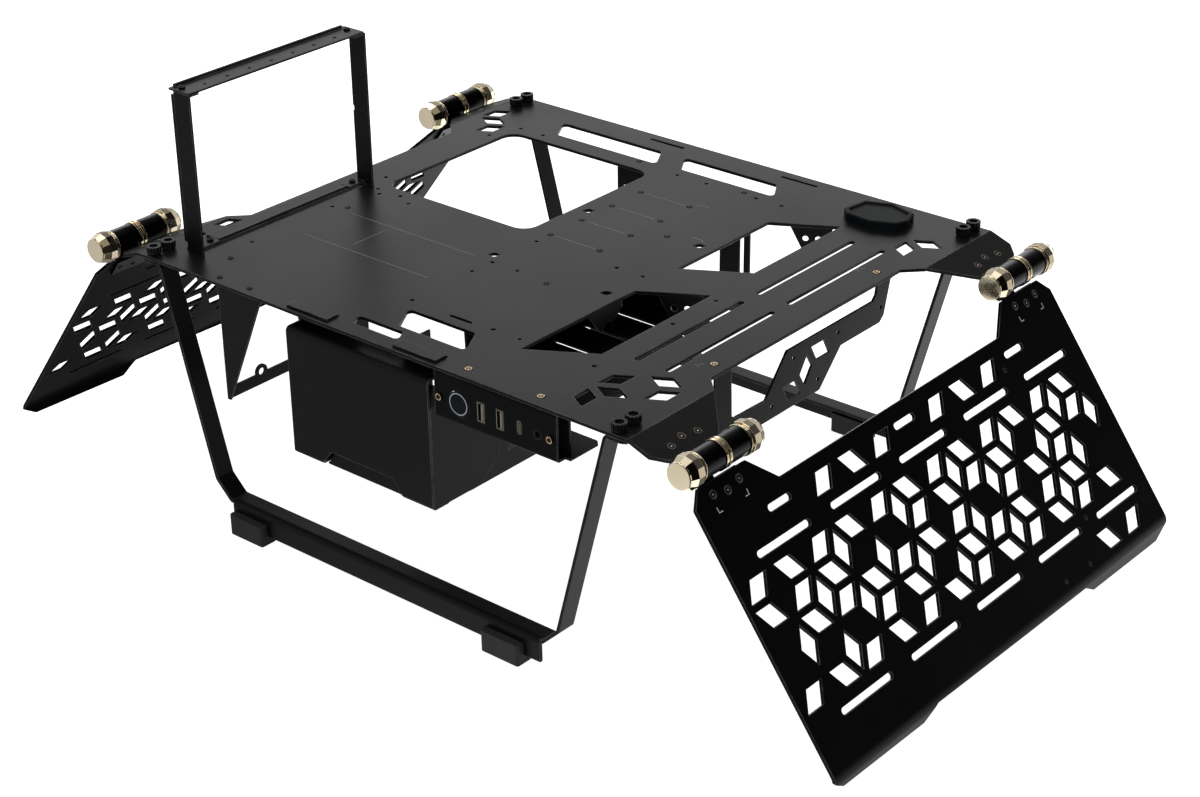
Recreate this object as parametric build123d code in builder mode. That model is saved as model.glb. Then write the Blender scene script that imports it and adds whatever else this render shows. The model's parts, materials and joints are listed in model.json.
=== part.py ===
from build123d import *
import math
import os

# Open air test bench. Millimetres, ground at z = 0, X across the two wings, Y away from the front edge.

# Driving sizes
deck_top = 195.0
sheet = 2.5
thin_sheet = 1.5
deck_half_x = 207.5
deck_half_y = 199.5
fold_x = 220.0
fold_y = deck_half_y - 82.5
shoulder = fold_x - deck_half_x
tab_angle = 20.0
tab_outer_s = 17.0
tab_end_s = 26.0

hinge_x = 261.0
hinge_drop = 8.8
hinge_y = deck_half_y - 31.5
barrel_r = 9.6
pin_r = 4.0
running_gap = 0.08
part_gap = 0.3
hinge_half = 36.2
cap_len = 12.0
cap_r = 11.2
cap_face_r = 8.3
bead_len = 3.0
ring_half = 2.6
ring_r = 10.3
leaf_t = 2.0
screw_pitch = 12.65
screw_r = 1.5
screw_head_r = 2.8
tab_screws = [(18.5, -screw_pitch), (16.0, 0.0), (18.5, screw_pitch)]

wing_drop_right = 54.0
wing_drop_left = 52.5
wing_rise = 5.3
wing_half_y = deck_half_y - 0.5
wing_top_s = 32.0
wing_tab_s = 12.4
wing_bend_s = 202.3
wing_bend_r = 10.0
wing_bend = 45.0
lip_wide = 11.2
lip_narrow = 3.0
lip_slant = 0.0178

cell = 20.9
hole_edge = 15.4
slot_w = 4.7

leg_w = 14.5
leg_outer_y = deck_half_y - 1.5
foot_len = 33.0

card_front_y = -(deck_half_y - 24.0)
card_back_y = -10.5
card_left_x = -194.5
card_right_x = -179.0
card_top = 118.0
card_pitch = 20.32
card_first_y = -155.1
post_screw_x = -193.2
rail_left_x = -203.0
rail_right_x = -189.6

os.makedirs("parts", exist_ok=True)


def tab_plane(side):
    """The top face of a hinge tab, local x down the slope."""
    a = math.radians(tab_angle)
    return Plane(
        origin=(side * fold_x, 0, deck_top),
        x_dir=(side * math.cos(a), 0, -math.sin(a)),
        z_dir=(side * math.sin(a), 0, math.cos(a)),
    )


def cell_points(kind, x, y, edge):
    """Corners of one rhombus of the hexagon lattice, centred on x, y."""
    up = (0.0, edge)
    rise = (edge * math.cos(math.radians(30)), edge * 0.5)
    fall = (edge * math.cos(math.radians(30)), -edge * 0.5)
    a, b = {"F": (up, rise), "R": (up, fall), "L": (rise, fall)}[kind]
    x0 = x - (a[0] + b[0]) / 2
    y0 = y - (a[1] + b[1]) / 2
    return [
        (x0, y0),
        (x0 + a[0], y0 + a[1]),
        (x0 + a[0] + b[0], y0 + a[1] + b[1]),
        (x0 + b[0], y0 + b[1]),
    ]


def rounded(points, radius):
    """A closed outline with rounded corners, as a face."""
    line = FilletPolyline(*points, radius=radius, close=True)
    return make_face(line.edges())


def strip(points, radius, thick, side):
    """The section of a bent sheet, grown to one side of its outer line."""
    if radius > 0:
        line = FilletPolyline(*points, radius=radius)
    else:
        line = Polyline(*points)
    band = offset(line, amount=thick, side=side)
    return make_face(band.edges())


# Deck plate: main sheet with every opening, then the four folded hinge tabs
deck_outline = [
    (-fold_x, -deck_half_y),
    (fold_x, -deck_half_y),
    (fold_x, -fold_y),
    (deck_half_x, -fold_y + shoulder),
    (deck_half_x, fold_y - shoulder),
    (fold_x, fold_y),
    (fold_x, deck_half_y),
    (-fold_x, deck_half_y),
    (-fold_x, fold_y),
    (-deck_half_x, fold_y - shoulder),
    (-deck_half_x, -fold_y + shoulder),
    (-fold_x, -fold_y),
]
board_columns = [-171.16, -148.3, -16.22, 6.64, 56.17, 79.03, 141.3]
board_rows = [144.5, -12.98, -58.7, -137.44]
board_holes = [
    (board_columns[0], board_rows[0]),
    (board_columns[1], board_rows[0]),
    (board_columns[2], board_rows[0]),
    (11.0, board_rows[0]),
    (board_columns[4], board_rows[0]),
    (board_columns[5], board_rows[0]),
    (board_columns[0], board_rows[1]),
    (board_columns[1], board_rows[1]),
    (board_columns[2], board_rows[1]),
    (board_columns[4], board_rows[1]),
    (board_columns[5], board_rows[1]),
    (board_columns[6], board_rows[1]),
    (board_columns[2], board_rows[2]),
    (board_columns[3], board_rows[2]),
    (board_columns[6], board_rows[2]),
    (board_columns[0], board_rows[3]),
    (board_columns[2], board_rows[3]),
    (board_columns[4], board_rows[3]),
    (board_columns[5], board_rows[3]),
    (board_columns[6], board_rows[3]),
    (-17.2, -78.2),
    (-181.0, 118.9),
    (-55.7, 148.5),
    (-133.9, -19.2),
    (-163.4, -19.2),
    (-173.0, -57.4),
    (-162.8, -52.0),
    (-182.5, 7.2),
    (43.1, 147.6),
    (36.0, -62.2),
    (49.5, 50.4),
]
fan_rows = [102.0, 68.8, 35.7, 2.0]
fan_columns = [-16.2, 28.6]
cable_holes = [(-24.0, -48.2), (77.0, -48.7), (-23.7, 51.6), (77.0, 51.4)]
deck_cells = [
    ("F", 163.9, -142.5),
    ("L", 173.1, -158.1),
    ("R", 164.3, -173.5),
    ("L", 190.0, -126.3),
    ("F", 199.5, -142.0),
    ("R", 190.0, 136.2),
    ("L", 198.6, 151.9),
    ("F", -208.3, 158.8),
    ("L", -200.0, 144.7),
    ("F", -190.5, 130.5),
    ("F", -209.5, -123.0),
]
deck_edge = 14.6
thumb_x = 208.5
thumb_ys = [deck_half_y - 18.5, deck_half_y - 5.5]
thumb_hole_r = 2.2
thumb_r = 5.2
thumb_h = 6.2
io_screws = [(82.2, -(deck_half_y - 10.5)), (142.3, -(deck_half_y - 10.5))]
pump_screws = [(197.5, -88.0), (197.5, 91.0)]
hanger_screws = [(-143.5, -(deck_half_y - 7.3)), (-114.2, -(deck_half_y - 7.3))]
side_screw = (-161.9, -165.9)
hook_slots = [(-55.3, 37.4), (41.8, 37.4)]
hook_y = -(deck_half_y - 13.5)
card_slot_x = -186.4
card_slot_w = 5.2

foot_screws = [(post_screw_x, card_front_y + 19.3), (post_screw_x, card_back_y - 6.7)]

far_y = deck_half_y - 24.7
near_y = -(deck_half_y - 28.0)
deck_windows = [
    rounded([(-172, -4), (-34, -4), (-34, 135.5), (-172, 135.5)], 12),
    rounded([(-140.5, far_y - 22.6), (-42.5, far_y - 22.6), (-55.5, far_y), (-153.5, far_y)], 3),
    rounded([(-20.9, far_y - 19.8), (64.4, far_y - 19.8), (52.0, far_y + 0.8), (-33.7, far_y + 0.8)], 3),
    rounded([(5, near_y), (63.4, near_y), (51, near_y + 23.2), (-8.8, near_y + 23.2)], 3),
    rounded([(-21, near_y - 15.5), (19, near_y - 15.5), (13, near_y - 4.5), (-27, near_y - 4.5)], 2.5),
]

with BuildPart() as deck_plate:
    with BuildSketch(Plane.XY.offset(deck_top - sheet)):
        Polygon(*deck_outline, align=None)
        # Large window behind the card slots, slanted windows along the far and near edges
        add(deck_windows, mode=Mode.SUBTRACT)
        # Cable openings with slanted ends
        Polygon((89, 12), (134, 38), (134, 140), (89, 115), align=None, mode=Mode.SUBTRACT)
        Polygon((89, -148), (134, -121.5), (134, -8), (89, -34), align=None, mode=Mode.SUBTRACT)
        with Locations((29.3, -139)):
            SlotOverall(20.5, 3.2, mode=Mode.SUBTRACT)
        # Slits at the far edge
        with Locations((-62, deck_half_y - 9.5), (62, deck_half_y - 9.5)):
            SlotOverall(33, 3.5, mode=Mode.SUBTRACT)
        # Long slots at the right edge
        with Locations((156, -59), (181, -59), (156, 68.2), (181, 68.2)):
            SlotOverall(112.3, 4.5, rotation=90, mode=Mode.SUBTRACT)
        # Slot for the tongues of the expansion cards
        with Locations((card_slot_x, (card_front_y + card_back_y) / 2)):
            Rectangle(card_slot_w, card_back_y - card_front_y - 3, mode=Mode.SUBTRACT)
        # Slots for the hooks of the power supply bracket
        with Locations(*[(x, hook_y) for x, _ in hook_slots]):
            Rectangle(hook_slots[0][1] + 2, 3.2, mode=Mode.SUBTRACT)
        for kind, cx, cy in deck_cells:
            Polygon(*cell_points(kind, cx, cy, deck_edge), align=None, mode=Mode.SUBTRACT)
        with Locations(*board_holes):
            Circle(1.75, mode=Mode.SUBTRACT)
        with Locations(*[(x, y) for x in fan_columns for y in fan_rows]):
            Circle(1.9, mode=Mode.SUBTRACT)
        with Locations(*cable_holes):
            Circle(3.4, mode=Mode.SUBTRACT)
            SlotOverall(9.4, 2.2, rotation=35, mode=Mode.SUBTRACT)
        with Locations(*[(sx * thumb_x, sy * y) for sx in (-1, 1) for sy in (-1, 1) for y in thumb_ys]):
            Circle(thumb_hole_r, mode=Mode.SUBTRACT)
        with Locations(*foot_screws):
            Circle(screw_r + running_gap, mode=Mode.SUBTRACT)
        with Locations((-209.0, -150.0)):
            Circle(3.0, mode=Mode.SUBTRACT)
        with Locations(side_screw):
            Circle(screw_r + running_gap, mode=Mode.SUBTRACT)
    extrude(amount=sheet)
    for side in (-1, 1):
        for sy in (-1, 1):
            lateral = side * sy
            with BuildSketch(tab_plane(side)):
                Polygon(
                    (-0.5, lateral * deck_half_y),
                    (tab_outer_s, lateral * deck_half_y),
                    (tab_end_s, lateral * (deck_half_y - 8.0)),
                    (tab_end_s + 3, lateral * (deck_half_y - 15.5)),
                    (tab_end_s + 3, lateral * (hinge_y - 21.0)),
                    (tab_end_s - 1.2, lateral * (hinge_y - 25.5)),
                    (0.0, lateral * fold_y),
                    (-0.5, lateral * fold_y),
                    align=None,
                )
            extrude(amount=-sheet)
            with Locations(tab_plane(side)):
                with Locations(*[(ts, lateral * (hinge_y + dy), 0) for ts, dy in tab_screws]):
                    CounterSinkHole(screw_r + running_gap, screw_head_r + running_gap, sheet + 1, 90)
    with Locations(*[(x, y, deck_top) for x, y in io_screws + pump_screws]):
        CounterSinkHole(screw_r + running_gap, screw_head_r + running_gap, sheet + 1, 90)
    with Locations(*[(x, y, deck_top) for x, y in hanger_screws]):
        Hole(screw_r + running_gap, depth=sheet + 1)
    # Flaps folded down from the far ends of the two cable openings, each with two holes
    for fx, fy in ((89.0, 115.0), (89.0, -34.0)):
        flap_plane = Plane(
            origin=(fx, fy + 0.3, deck_top - sheet / 2),
            x_dir=(45.0, 25.5, 0),
            z_dir=(-25.5, 45.0, 0),
        )
        with BuildSketch(flap_plane):
            Polygon((16, 0), (46, 0), (46, 1), (39, 20), (35, 23), (29, 23), (25, 20), (16, 2), align=None)
            with Locations((26.5, 10.0), (35.5, 10.0)):
                Circle(2.2, mode=Mode.SUBTRACT)
        extrude(amount=thin_sheet)
    # Cable guide folded down from the left edge of the near cable opening
    with BuildSketch(Plane.YZ.offset(89.0 - thin_sheet)):
        Polygon(
            (-80, deck_top - 1), (-48, deck_top - 1), (-46.5, deck_top - 7), (-54, deck_top - 13),
            (-57.5, deck_top - 14.5), (-61.5, deck_top - 12.5), (-65.5, deck_top - 15.5), (-69, deck_top - 18.5),
            (-80, deck_top - 4), align=None,
        )
    extrude(amount=thin_sheet)
deck_plate.part.label = "deck_plate"


# Wings: one blank drawn flat, top face at z = 0, local x down the slope from below the hinge axis
bend_start = wing_bend_s - wing_bend_r * math.tan(math.radians(wing_bend / 2))
wing_outline = [
    (wing_tab_s, -(wing_half_y - 9.5)),
    (22.8, -wing_half_y),
    (bend_start, -wing_half_y),
    (bend_start, wing_half_y),
    (22.8, wing_half_y),
    (wing_tab_s, wing_half_y - 9.5),
    (wing_tab_s, hinge_y - 24.0),
    (wing_top_s, hinge_y - 44.0),
    (wing_top_s, -(hinge_y - 44.0)),
    (wing_tab_s, -(hinge_y - 24.0)),
]
row_gap = cell * math.sqrt(3) / 2
first_row = 81.0
first_col = -182.3
col_gap = cell * 1.5
blank_cells = {(1, 3), (1, 4), (1, 9), (2, 0), (2, 7), (2, 11), (3, 0), (3, 1), (3, 2), (3, 5), (3, 11)}
side_cells = {
    0: (2, 4, 6, 8, 10),
    1: (1, 3, 7, 9, 11),
    2: (0, 2, 4, 6, 10),
    3: (1, 5, 7, 9),
}
wing_cells = [
    ("R", 48.4, -91.0),
    ("F", 48.4, -59.7),
    ("R", 48.4, -28.3),
    ("R", 48.4, 34.2),
    ("F", 48.4, 65.6),
    ("R", 48.4, 96.9),
    ("F", 187.3, 132.7),
    ("R", 187.3, 164.4),
]
for row in range(5):
    for col in range(12):
        if (row, col) not in blank_cells:
            kind = "R" if (row + col) % 2 == 0 else "F"
            wing_cells.append((kind, first_row + row_gap * row, first_col + col_gap * col))
for row, cols in side_cells.items():
    for col in cols:
        y = first_col + col_gap * col + col_gap / 2
        wing_cells.append(("L", first_row + row_gap * (row + 0.5), y))
wing_slots = [(45.0, y, 22.5) for y in (-134.0, 0.0, 132.0)]
wing_slots += [(64.8, -144.5 + 75.0 * i, 53.0) for i in range(5)]
wing_slots += [(170.8, -141.9 + 74.8 * i, 53.0) for i in range(5)]
wing_pins = [(52.9, 114.0), (166.7, 119.5), (193.1, 70.8), (193.2, 101.2)]
leaf_screws = [(19.7, -screw_pitch), (22.2, 0.0), (19.7, screw_pitch)]
wing_screws = [(s, sy * hinge_y + dy) for sy in (-1, 1) for s, dy in leaf_screws]


def bend_section(sweep, flat):
    """Section of the lower bend of a wing after a given sweep, followed by a flat lip."""
    centre = (bend_start, -wing_bend_r)
    outer = CenterArc(centre, wing_bend_r, 90, -sweep)
    inner = CenterArc(centre, wing_bend_r - sheet, 90, -sweep)
    a = math.radians(90 - sweep)
    step = Vector(math.sin(a), -math.cos(a)) * flat
    lines = [outer, inner, Line(outer @ 0, inner @ 0)]
    if flat > 0:
        lines += [Polyline(outer @ 1, (outer @ 1) + step, (inner @ 1) + step, inner @ 1)]
    else:
        lines += [Line(outer @ 1, inner @ 1)]
    return make_face([edge for line in lines for edge in line.edges()])


lip_plane = Plane(
    origin=(wing_bend_s, 0, 0),
    x_dir=(math.cos(math.radians(wing_bend)), 0, -math.sin(math.radians(wing_bend))),
    z_dir=(math.sin(math.radians(wing_bend)), 0, math.cos(math.radians(wing_bend))),
)
lip_blank_len = lip_wide + lip_slant * wing_half_y
lip_section = bend_section(wing_bend, lip_blank_len - (wing_bend_s - bend_start))
lip_step_y = wing_half_y - 109.5
lip_end_y = wing_half_y + 0.5


def lip_edge(y, length):
    """A point of the lower edge of the lip, which drops a little towards the far end."""
    return (length + lip_slant * y, y)


lip_cut = [
    (lip_blank_len + 2, -(lip_end_y + 1)),
    (1.5, -lip_end_y),
    lip_edge(-(lip_end_y - 10), lip_wide),
    lip_edge(-(lip_step_y + 14), lip_wide),
    lip_edge(-lip_step_y, lip_narrow),
    lip_edge(lip_step_y, lip_narrow),
    lip_edge(lip_step_y + 14, lip_wide),
    lip_edge(lip_end_y - 10, lip_wide),
    (1.5, lip_end_y),
    (lip_blank_len + 2, lip_end_y + 1),
]

with BuildPart() as wing_blank:
    with BuildSketch(Plane.XY):
        Polygon(*wing_outline, align=None)
        for kind, s, y in wing_cells:
            Polygon(*cell_points(kind, s, y, hole_edge), align=None, mode=Mode.SUBTRACT)
        for s, y, length in wing_slots:
            with Locations((s, y)):
                SlotOverall(length, slot_w, rotation=90, mode=Mode.SUBTRACT)
        with Locations(*wing_pins):
            Circle(1.3, mode=Mode.SUBTRACT)
    extrude(amount=-sheet)
    with Locations(*[(s, y, 0) for s, y in wing_screws]):
        CounterSinkHole(screw_r + running_gap, screw_head_r + running_gap, sheet + 1, 90)
    with BuildSketch(Plane.XZ):
        add(lip_section)
    extrude(amount=wing_half_y, both=True)
    with BuildSketch(lip_plane):
        Polygon(*lip_cut, align=None)
    extrude(amount=8, both=True, mode=Mode.SUBTRACT)


def wing_plane(side, drop):
    """Outer face of a wing hanging at drop degrees below level, origin below the hinge axis."""
    a = math.radians(drop)
    return Plane(
        origin=(
            side * (hinge_x - wing_rise * math.sin(a)),
            0,
            deck_top - hinge_drop - wing_rise * math.cos(a),
        ),
        x_dir=(side * math.cos(a), 0, -math.sin(a)),
        z_dir=(side * math.sin(a), 0, math.cos(a)),
    )


with BuildPart() as right_wing:
    add(wing_plane(1, wing_drop_right).location * wing_blank.part)
right_wing.part.label = "right_wing"

with BuildPart() as left_wing:
    blank_turned = mirror(wing_blank.part, about=Plane.XZ, mode=Mode.PRIVATE)
    add(wing_plane(-1, wing_drop_left).location * blank_turned)
left_wing.part.label = "left_wing"

# Hinges: axis along Y at the origin, deck leaf toward -x, wing leaf toward +x
knuckle_a = ring_half + 0.2
knuckle_b = hinge_half - cap_len - bead_len - 0.1
tab_slope = math.radians(tab_angle)
tab_gap = (hinge_x - fold_x) * math.sin(tab_slope) - hinge_drop * math.cos(tab_slope)
leaf_width = 17.5


def leaf_plane(slope, rise):
    """Outer face of a leaf, local x away from the axis down a slope in degrees, rise below the axis."""
    a = math.radians(slope)
    n = Vector(math.sin(a), 0, math.cos(a))
    return Plane(origin=n * -rise, x_dir=(math.cos(a), 0, -math.sin(a)), z_dir=n)


with BuildPart() as deck_knuckle:
    with BuildSketch(Plane.XZ.offset(-knuckle_a)):
        Circle(barrel_r)
    extrude(amount=-(knuckle_b - knuckle_a))
    with BuildSketch(leaf_plane(tab_angle, tab_gap + sheet)):
        Polygon(
            (0, knuckle_a), (0, knuckle_b), (-12, knuckle_b), (-12, leaf_width), (-29, leaf_width),
            (-29, -leaf_width), (-12, -leaf_width), (-12, knuckle_a), align=None,
        )
        for s, y in ((-23.0, -screw_pitch), (-25.5, 0.0), (-23.0, screw_pitch)):
            with Locations((s, y)):
                Circle(screw_r + running_gap, mode=Mode.SUBTRACT)
    extrude(amount=-leaf_t)
    with BuildSketch(Plane.XZ):
        Circle(pin_r)
    extrude(amount=-knuckle_b - 1, mode=Mode.SUBTRACT)

with BuildPart() as wing_knuckle:
    with BuildSketch(Plane.XZ.offset(knuckle_a)):
        Circle(barrel_r)
    extrude(amount=knuckle_b - knuckle_a)
    with BuildSketch(leaf_plane(0, wing_rise + sheet)):
        Polygon(
            (0, -knuckle_a), (0, -knuckle_b), (12, -knuckle_b), (12, -leaf_width), (27, -leaf_width),
            (27, leaf_width), (12, leaf_width), (12, -knuckle_a), align=None,
        )
        for s, y in leaf_screws:
            with Locations((s, y)):
                Circle(screw_r + running_gap, mode=Mode.SUBTRACT)
    extrude(amount=-leaf_t)
    with BuildSketch(Plane.XZ):
        Circle(pin_r + running_gap)
    extrude(amount=knuckle_b + 1, mode=Mode.SUBTRACT)

with BuildPart() as hinge_pin:
    with BuildSketch(Plane.XZ.offset(-knuckle_b)):
        Circle(pin_r)
    extrude(amount=2 * knuckle_b)
    with BuildSketch(Plane.XZ.offset(-ring_half)):
        Circle(ring_r - 1.0)
    extrude(amount=2 * ring_half)
    for y in (-ring_half, 0.7):
        with BuildSketch(Plane.XZ.offset(-y)):
            Circle(ring_r)
        extrude(amount=-(ring_half - 0.7))

cap_start = hinge_half - cap_len
facet_len = 6.4
with BuildPart() as hinge_cap:
    with BuildSketch(Plane.XZ.offset(-(cap_start - bead_len))):
        Circle(barrel_r - 0.3)
    extrude(amount=-bead_len - 1)
    with BuildSketch(Plane.XZ.offset(-(cap_start - bead_len))):
        Circle(barrel_r + 0.8)
    extrude(amount=-1.6)
    with BuildSketch(Plane.XZ.offset(-cap_start)):
        Circle(cap_r)
    extrude(amount=-(cap_len - facet_len))
    with BuildSketch(Plane.XZ.offset(-(hinge_half - facet_len))):
        RegularPolygon(cap_r, 8, major_radius=False, rotation=22.5)
    with BuildSketch(Plane.XZ.offset(-(hinge_half - 0.4))):
        RegularPolygon(cap_face_r, 8, major_radius=False, rotation=22.5)
    loft()
    with BuildSketch(Plane.XZ.offset(-hinge_half + 0.5)):
        Circle(cap_face_r)
    extrude(amount=-0.5)
    with BuildSketch(Plane.XZ.offset(-(hinge_half - facet_len - 0.01))):
        Circle(cap_r + 6)
        Circle(cap_r, mode=Mode.SUBTRACT)
    extrude(amount=-facet_len - 1, mode=Mode.SUBTRACT)


def hinge_place(side, sy):
    """Location of one hinge; those on the left are the same hinge turned half a turn."""
    turn = 0 if side > 0 else 180
    return Location((side * hinge_x, sy * hinge_y, deck_top - hinge_drop), (0, 0, turn))


hinge_names = {(1, -1): "right_near", (1, 1): "right_far", (-1, -1): "left_near", (-1, 1): "left_far"}
for (side, sy), name in hinge_names.items():
    place = hinge_place(side, sy)
    drop = wing_drop_right if side > 0 else wing_drop_left
    swing = place * Location((0, 0, 0), (0, drop, 0))
    with BuildPart() as deck_leaf:
        add(place * deck_knuckle.part)
    deck_leaf.part.label = "deck_leaf_" + name
    export_step(deck_leaf.part, "parts/deck_leaf_" + name + ".step")
    with BuildPart() as wing_leaf:
        add(swing * wing_knuckle.part)
    wing_leaf.part.label = "wing_leaf_" + name
    export_step(wing_leaf.part, "parts/wing_leaf_" + name + ".step")
    with BuildPart() as pin:
        add(place * hinge_pin.part)
    pin.part.label = "hinge_pin_" + name
    export_step(pin.part, "parts/hinge_pin_" + name + ".step")
    with BuildPart() as deck_cap:
        add(place * hinge_cap.part)
    deck_cap.part.label = "deck_cap_" + name
    export_step(deck_cap.part, "parts/deck_cap_" + name + ".step")
    with BuildPart() as wing_cap:
        add(swing * mirror(hinge_cap.part, about=Plane.XZ, mode=Mode.PRIVATE))
    wing_cap.part.label = "wing_cap_" + name
    export_step(wing_cap.part, "parts/wing_cap_" + name + ".step")

# Countersunk screws of the hinges
screw_sink = 0.15
with BuildPart() as screw_blank:
    with BuildSketch(Plane.XY.offset(-screw_sink)):
        Circle(screw_head_r - screw_sink)
    with BuildSketch(Plane.XY.offset(-(screw_head_r - screw_r))):
        Circle(screw_r)
    loft()
    with BuildSketch(Plane.XY.offset(-1.2)):
        Circle(screw_r)
    extrude(amount=-3.6)
    with BuildSketch(Plane.XY.offset(-screw_sink)):
        RegularPolygon(1.15, 6)
    extrude(amount=-0.9, mode=Mode.SUBTRACT)

for side, name, drop in ((1, "right", wing_drop_right), (-1, "left", wing_drop_left)):
    with BuildPart() as wing_screw_set:
        with Locations(wing_plane(side, drop)):
            with Locations(*[(s, y, 0) for s, y in wing_screws]):
                add(screw_blank.part)
    wing_screw_set.part.label = "wing_screws_" + name
    export_step(wing_screw_set.part, "parts/wing_screws_" + name + ".step")

with BuildPart() as deck_screws:
    for side in (-1, 1):
        with Locations(tab_plane(side)):
            with Locations(
                *[(s, sy * hinge_y + dy, 0) for sy in (-1, 1) for s, dy in tab_screws]
            ):
                add(screw_blank.part)
deck_screws.part.label = "deck_hinge_screws"

# Countersunk screws through the deck, one group per bracket
with BuildPart() as bracket_screws:
    with Locations(*[(x, y, deck_top) for x, y in io_screws + pump_screws]):
        add(screw_blank.part)
bracket_screws.part.label = "bracket_screws"

# Legs: one bent strip each, with pads under the deck and a folded rail along the floor side
pad_z = deck_top - sheet
leg_points = [
    (217.0, pad_z - sheet),
    (201.6, pad_z - sheet),
    (160.5, deck_top - 159.4),
    (146.5, deck_top - 173.0),
    (-146.5, deck_top - 173.0),
    (-160.5, deck_top - 159.4),
    (-201.6, pad_z - sheet),
    (-217.0, pad_z - sheet),
]
leg_section = strip(leg_points, 4.0, sheet, Side.RIGHT)
rail_top = deck_top - 173.0 + sheet
rail_bottom = deck_top - 187.8
rail_half = 144.0
rail_section = strip(
    [(-(leg_outer_y - leg_w), rail_top), (-leg_outer_y, rail_top), (-leg_outer_y, rail_bottom)],
    4.0, sheet, Side.LEFT,
)

with BuildPart() as leg_near:
    with BuildSketch(Plane.XZ.offset(leg_outer_y)):
        add(leg_section)
    extrude(amount=-leg_w)
    with BuildSketch(Plane.YZ.offset(-rail_half)):
        Polygon(
            (-leg_outer_y - 1, rail_top + 1), (-leg_outer_y + 5, rail_top + 1),
            (-leg_outer_y + 5, rail_bottom - 1), (-leg_outer_y - 1, rail_bottom - 1), align=None,
        )
    extrude(amount=2 * rail_half, mode=Mode.SUBTRACT)
    with BuildSketch(Plane.YZ.offset(-rail_half)):
        add(rail_section)
    extrude(amount=2 * rail_half)
    for side in (-1, 1):
        with BuildSketch(Plane.XY.offset(pad_z - sheet)):
            with Locations((side * thumb_x, -(deck_half_y - 12.3))):
                RectangleRounded(18, 24.6, 5)
        extrude(amount=sheet)
        with Locations(*[(side * thumb_x, -y, pad_z) for y in thumb_ys]):
            Hole(thumb_hole_r, depth=sheet + 2)
leg_near.part.label = "leg_near"

with BuildPart() as leg_far:
    add(mirror(leg_near.part, about=Plane.XZ, mode=Mode.PRIVATE))
leg_far.part.label = "leg_far"

# Rubber feet pressed over the lower edge of the rails
foot_out = leg_outer_y + 6.0
foot_in = leg_outer_y - 8.5
foot_top = rail_bottom + 8.8
foot_xs = {"left": -126.5, "right": 113.5}
with BuildPart() as foot_blank:
    with BuildSketch(Plane.XY):
        with Locations((0, -(foot_out + foot_in) / 2)):
            RectangleRounded(foot_len, foot_out - foot_in, 2.5)
    extrude(amount=foot_top)
    chamfer(foot_blank.faces().sort_by(Axis.Z)[0].edges(), 0.8)
    with BuildSketch(Plane.XY.offset(rail_bottom)):
        with Locations((0, -leg_outer_y + sheet / 2)):
            Rectangle(foot_len + 2, sheet)
    extrude(amount=foot_top, mode=Mode.SUBTRACT)

foot_places = [("near_" + side, x, -1) for side, x in foot_xs.items()]
foot_places += [("far_" + side, x, 1) for side, x in foot_xs.items()]
for name, x, sy in foot_places:
    with BuildPart() as foot:
        if sy < 0:
            add(Location((x, 0, 0)) * foot_blank.part)
        else:
            add(Location((x, 0, 0)) * mirror(foot_blank.part, about=Plane.XZ, mode=Mode.PRIVATE))
    foot.part.label = "foot_" + name
    export_step(foot.part, "parts/foot_" + name + ".step")

# Thumb screws with notched heads and a recess
with BuildPart() as thumb_blank:
    with BuildSketch(Plane.XY):
        Circle(thumb_r)
        with PolarLocations(thumb_r + 0.2, 12):
            Circle(0.75, mode=Mode.SUBTRACT)
    extrude(amount=thumb_h)
    with BuildSketch(Plane.XY.offset(thumb_h - 1.8)):
        Circle(thumb_r - 2.1)
    extrude(amount=2, mode=Mode.SUBTRACT)
    with BuildSketch(Plane.XY):
        Circle(thumb_r + 1)
        Circle(thumb_r - 0.7, mode=Mode.SUBTRACT)
    extrude(amount=1.2, mode=Mode.SUBTRACT)
    with BuildSketch(Plane.XY):
        Circle(thumb_hole_r - 0.1)
    extrude(amount=-2 * sheet - 2.5)

with BuildPart() as thumb_screws:
    corners = [(sx, sy) for sx in (-1, 1) for sy in (-1, 1)]
    with Locations(*[(sx * thumb_x, sy * y, deck_top) for sx, sy in corners for y in thumb_ys]):
        add(thumb_blank.part)
thumb_screws.part.label = "thumb_screws"

# Expansion card frame: two flat posts with folded feet, the top bar with its holes, the rail on the deck
post_h = card_top - thin_sheet
bar_left_x = card_left_x - 4.5
rim_t = 2.6
foot_right_x = card_right_x - 8.5
bar_screws = [(card_left_x + 3.5, card_front_y + 5.0), (card_left_x + 3.5, card_back_y - 5.0)]


def post(y_face, foot_len_y):
    """A flat post facing the front edge, with a folded foot and a folded top ear."""
    foot_y = y_face + thin_sheet
    ear_y = y_face + math.copysign(9, foot_len_y)
    with BuildPart() as body:
        with BuildSketch(Plane.XZ.offset(-y_face)):
            Polygon(
                (card_left_x, deck_top), (card_right_x, deck_top), (card_right_x, deck_top + post_h),
                (card_left_x, deck_top + post_h), align=None,
            )
        extrude(amount=-thin_sheet)
        with BuildSketch(Plane.XY.offset(deck_top)):
            Polygon(
                (card_left_x - 3, foot_y), (foot_right_x, foot_y), (foot_right_x, y_face + foot_len_y),
                (card_left_x - 3, y_face + foot_len_y), align=None,
            )
            with Locations(*foot_screws):
                Circle(screw_r + running_gap, mode=Mode.SUBTRACT)
        extrude(amount=thin_sheet)
        with BuildSketch(Plane.XY.offset(deck_top + post_h)):
            Polygon(
                (card_left_x, foot_y), (card_right_x, foot_y), (card_right_x, ear_y), (card_left_x, ear_y), align=None,
            )
            with Locations(*bar_screws):
                Circle(screw_r + running_gap, mode=Mode.SUBTRACT)
        extrude(amount=-thin_sheet)
    return body


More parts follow.
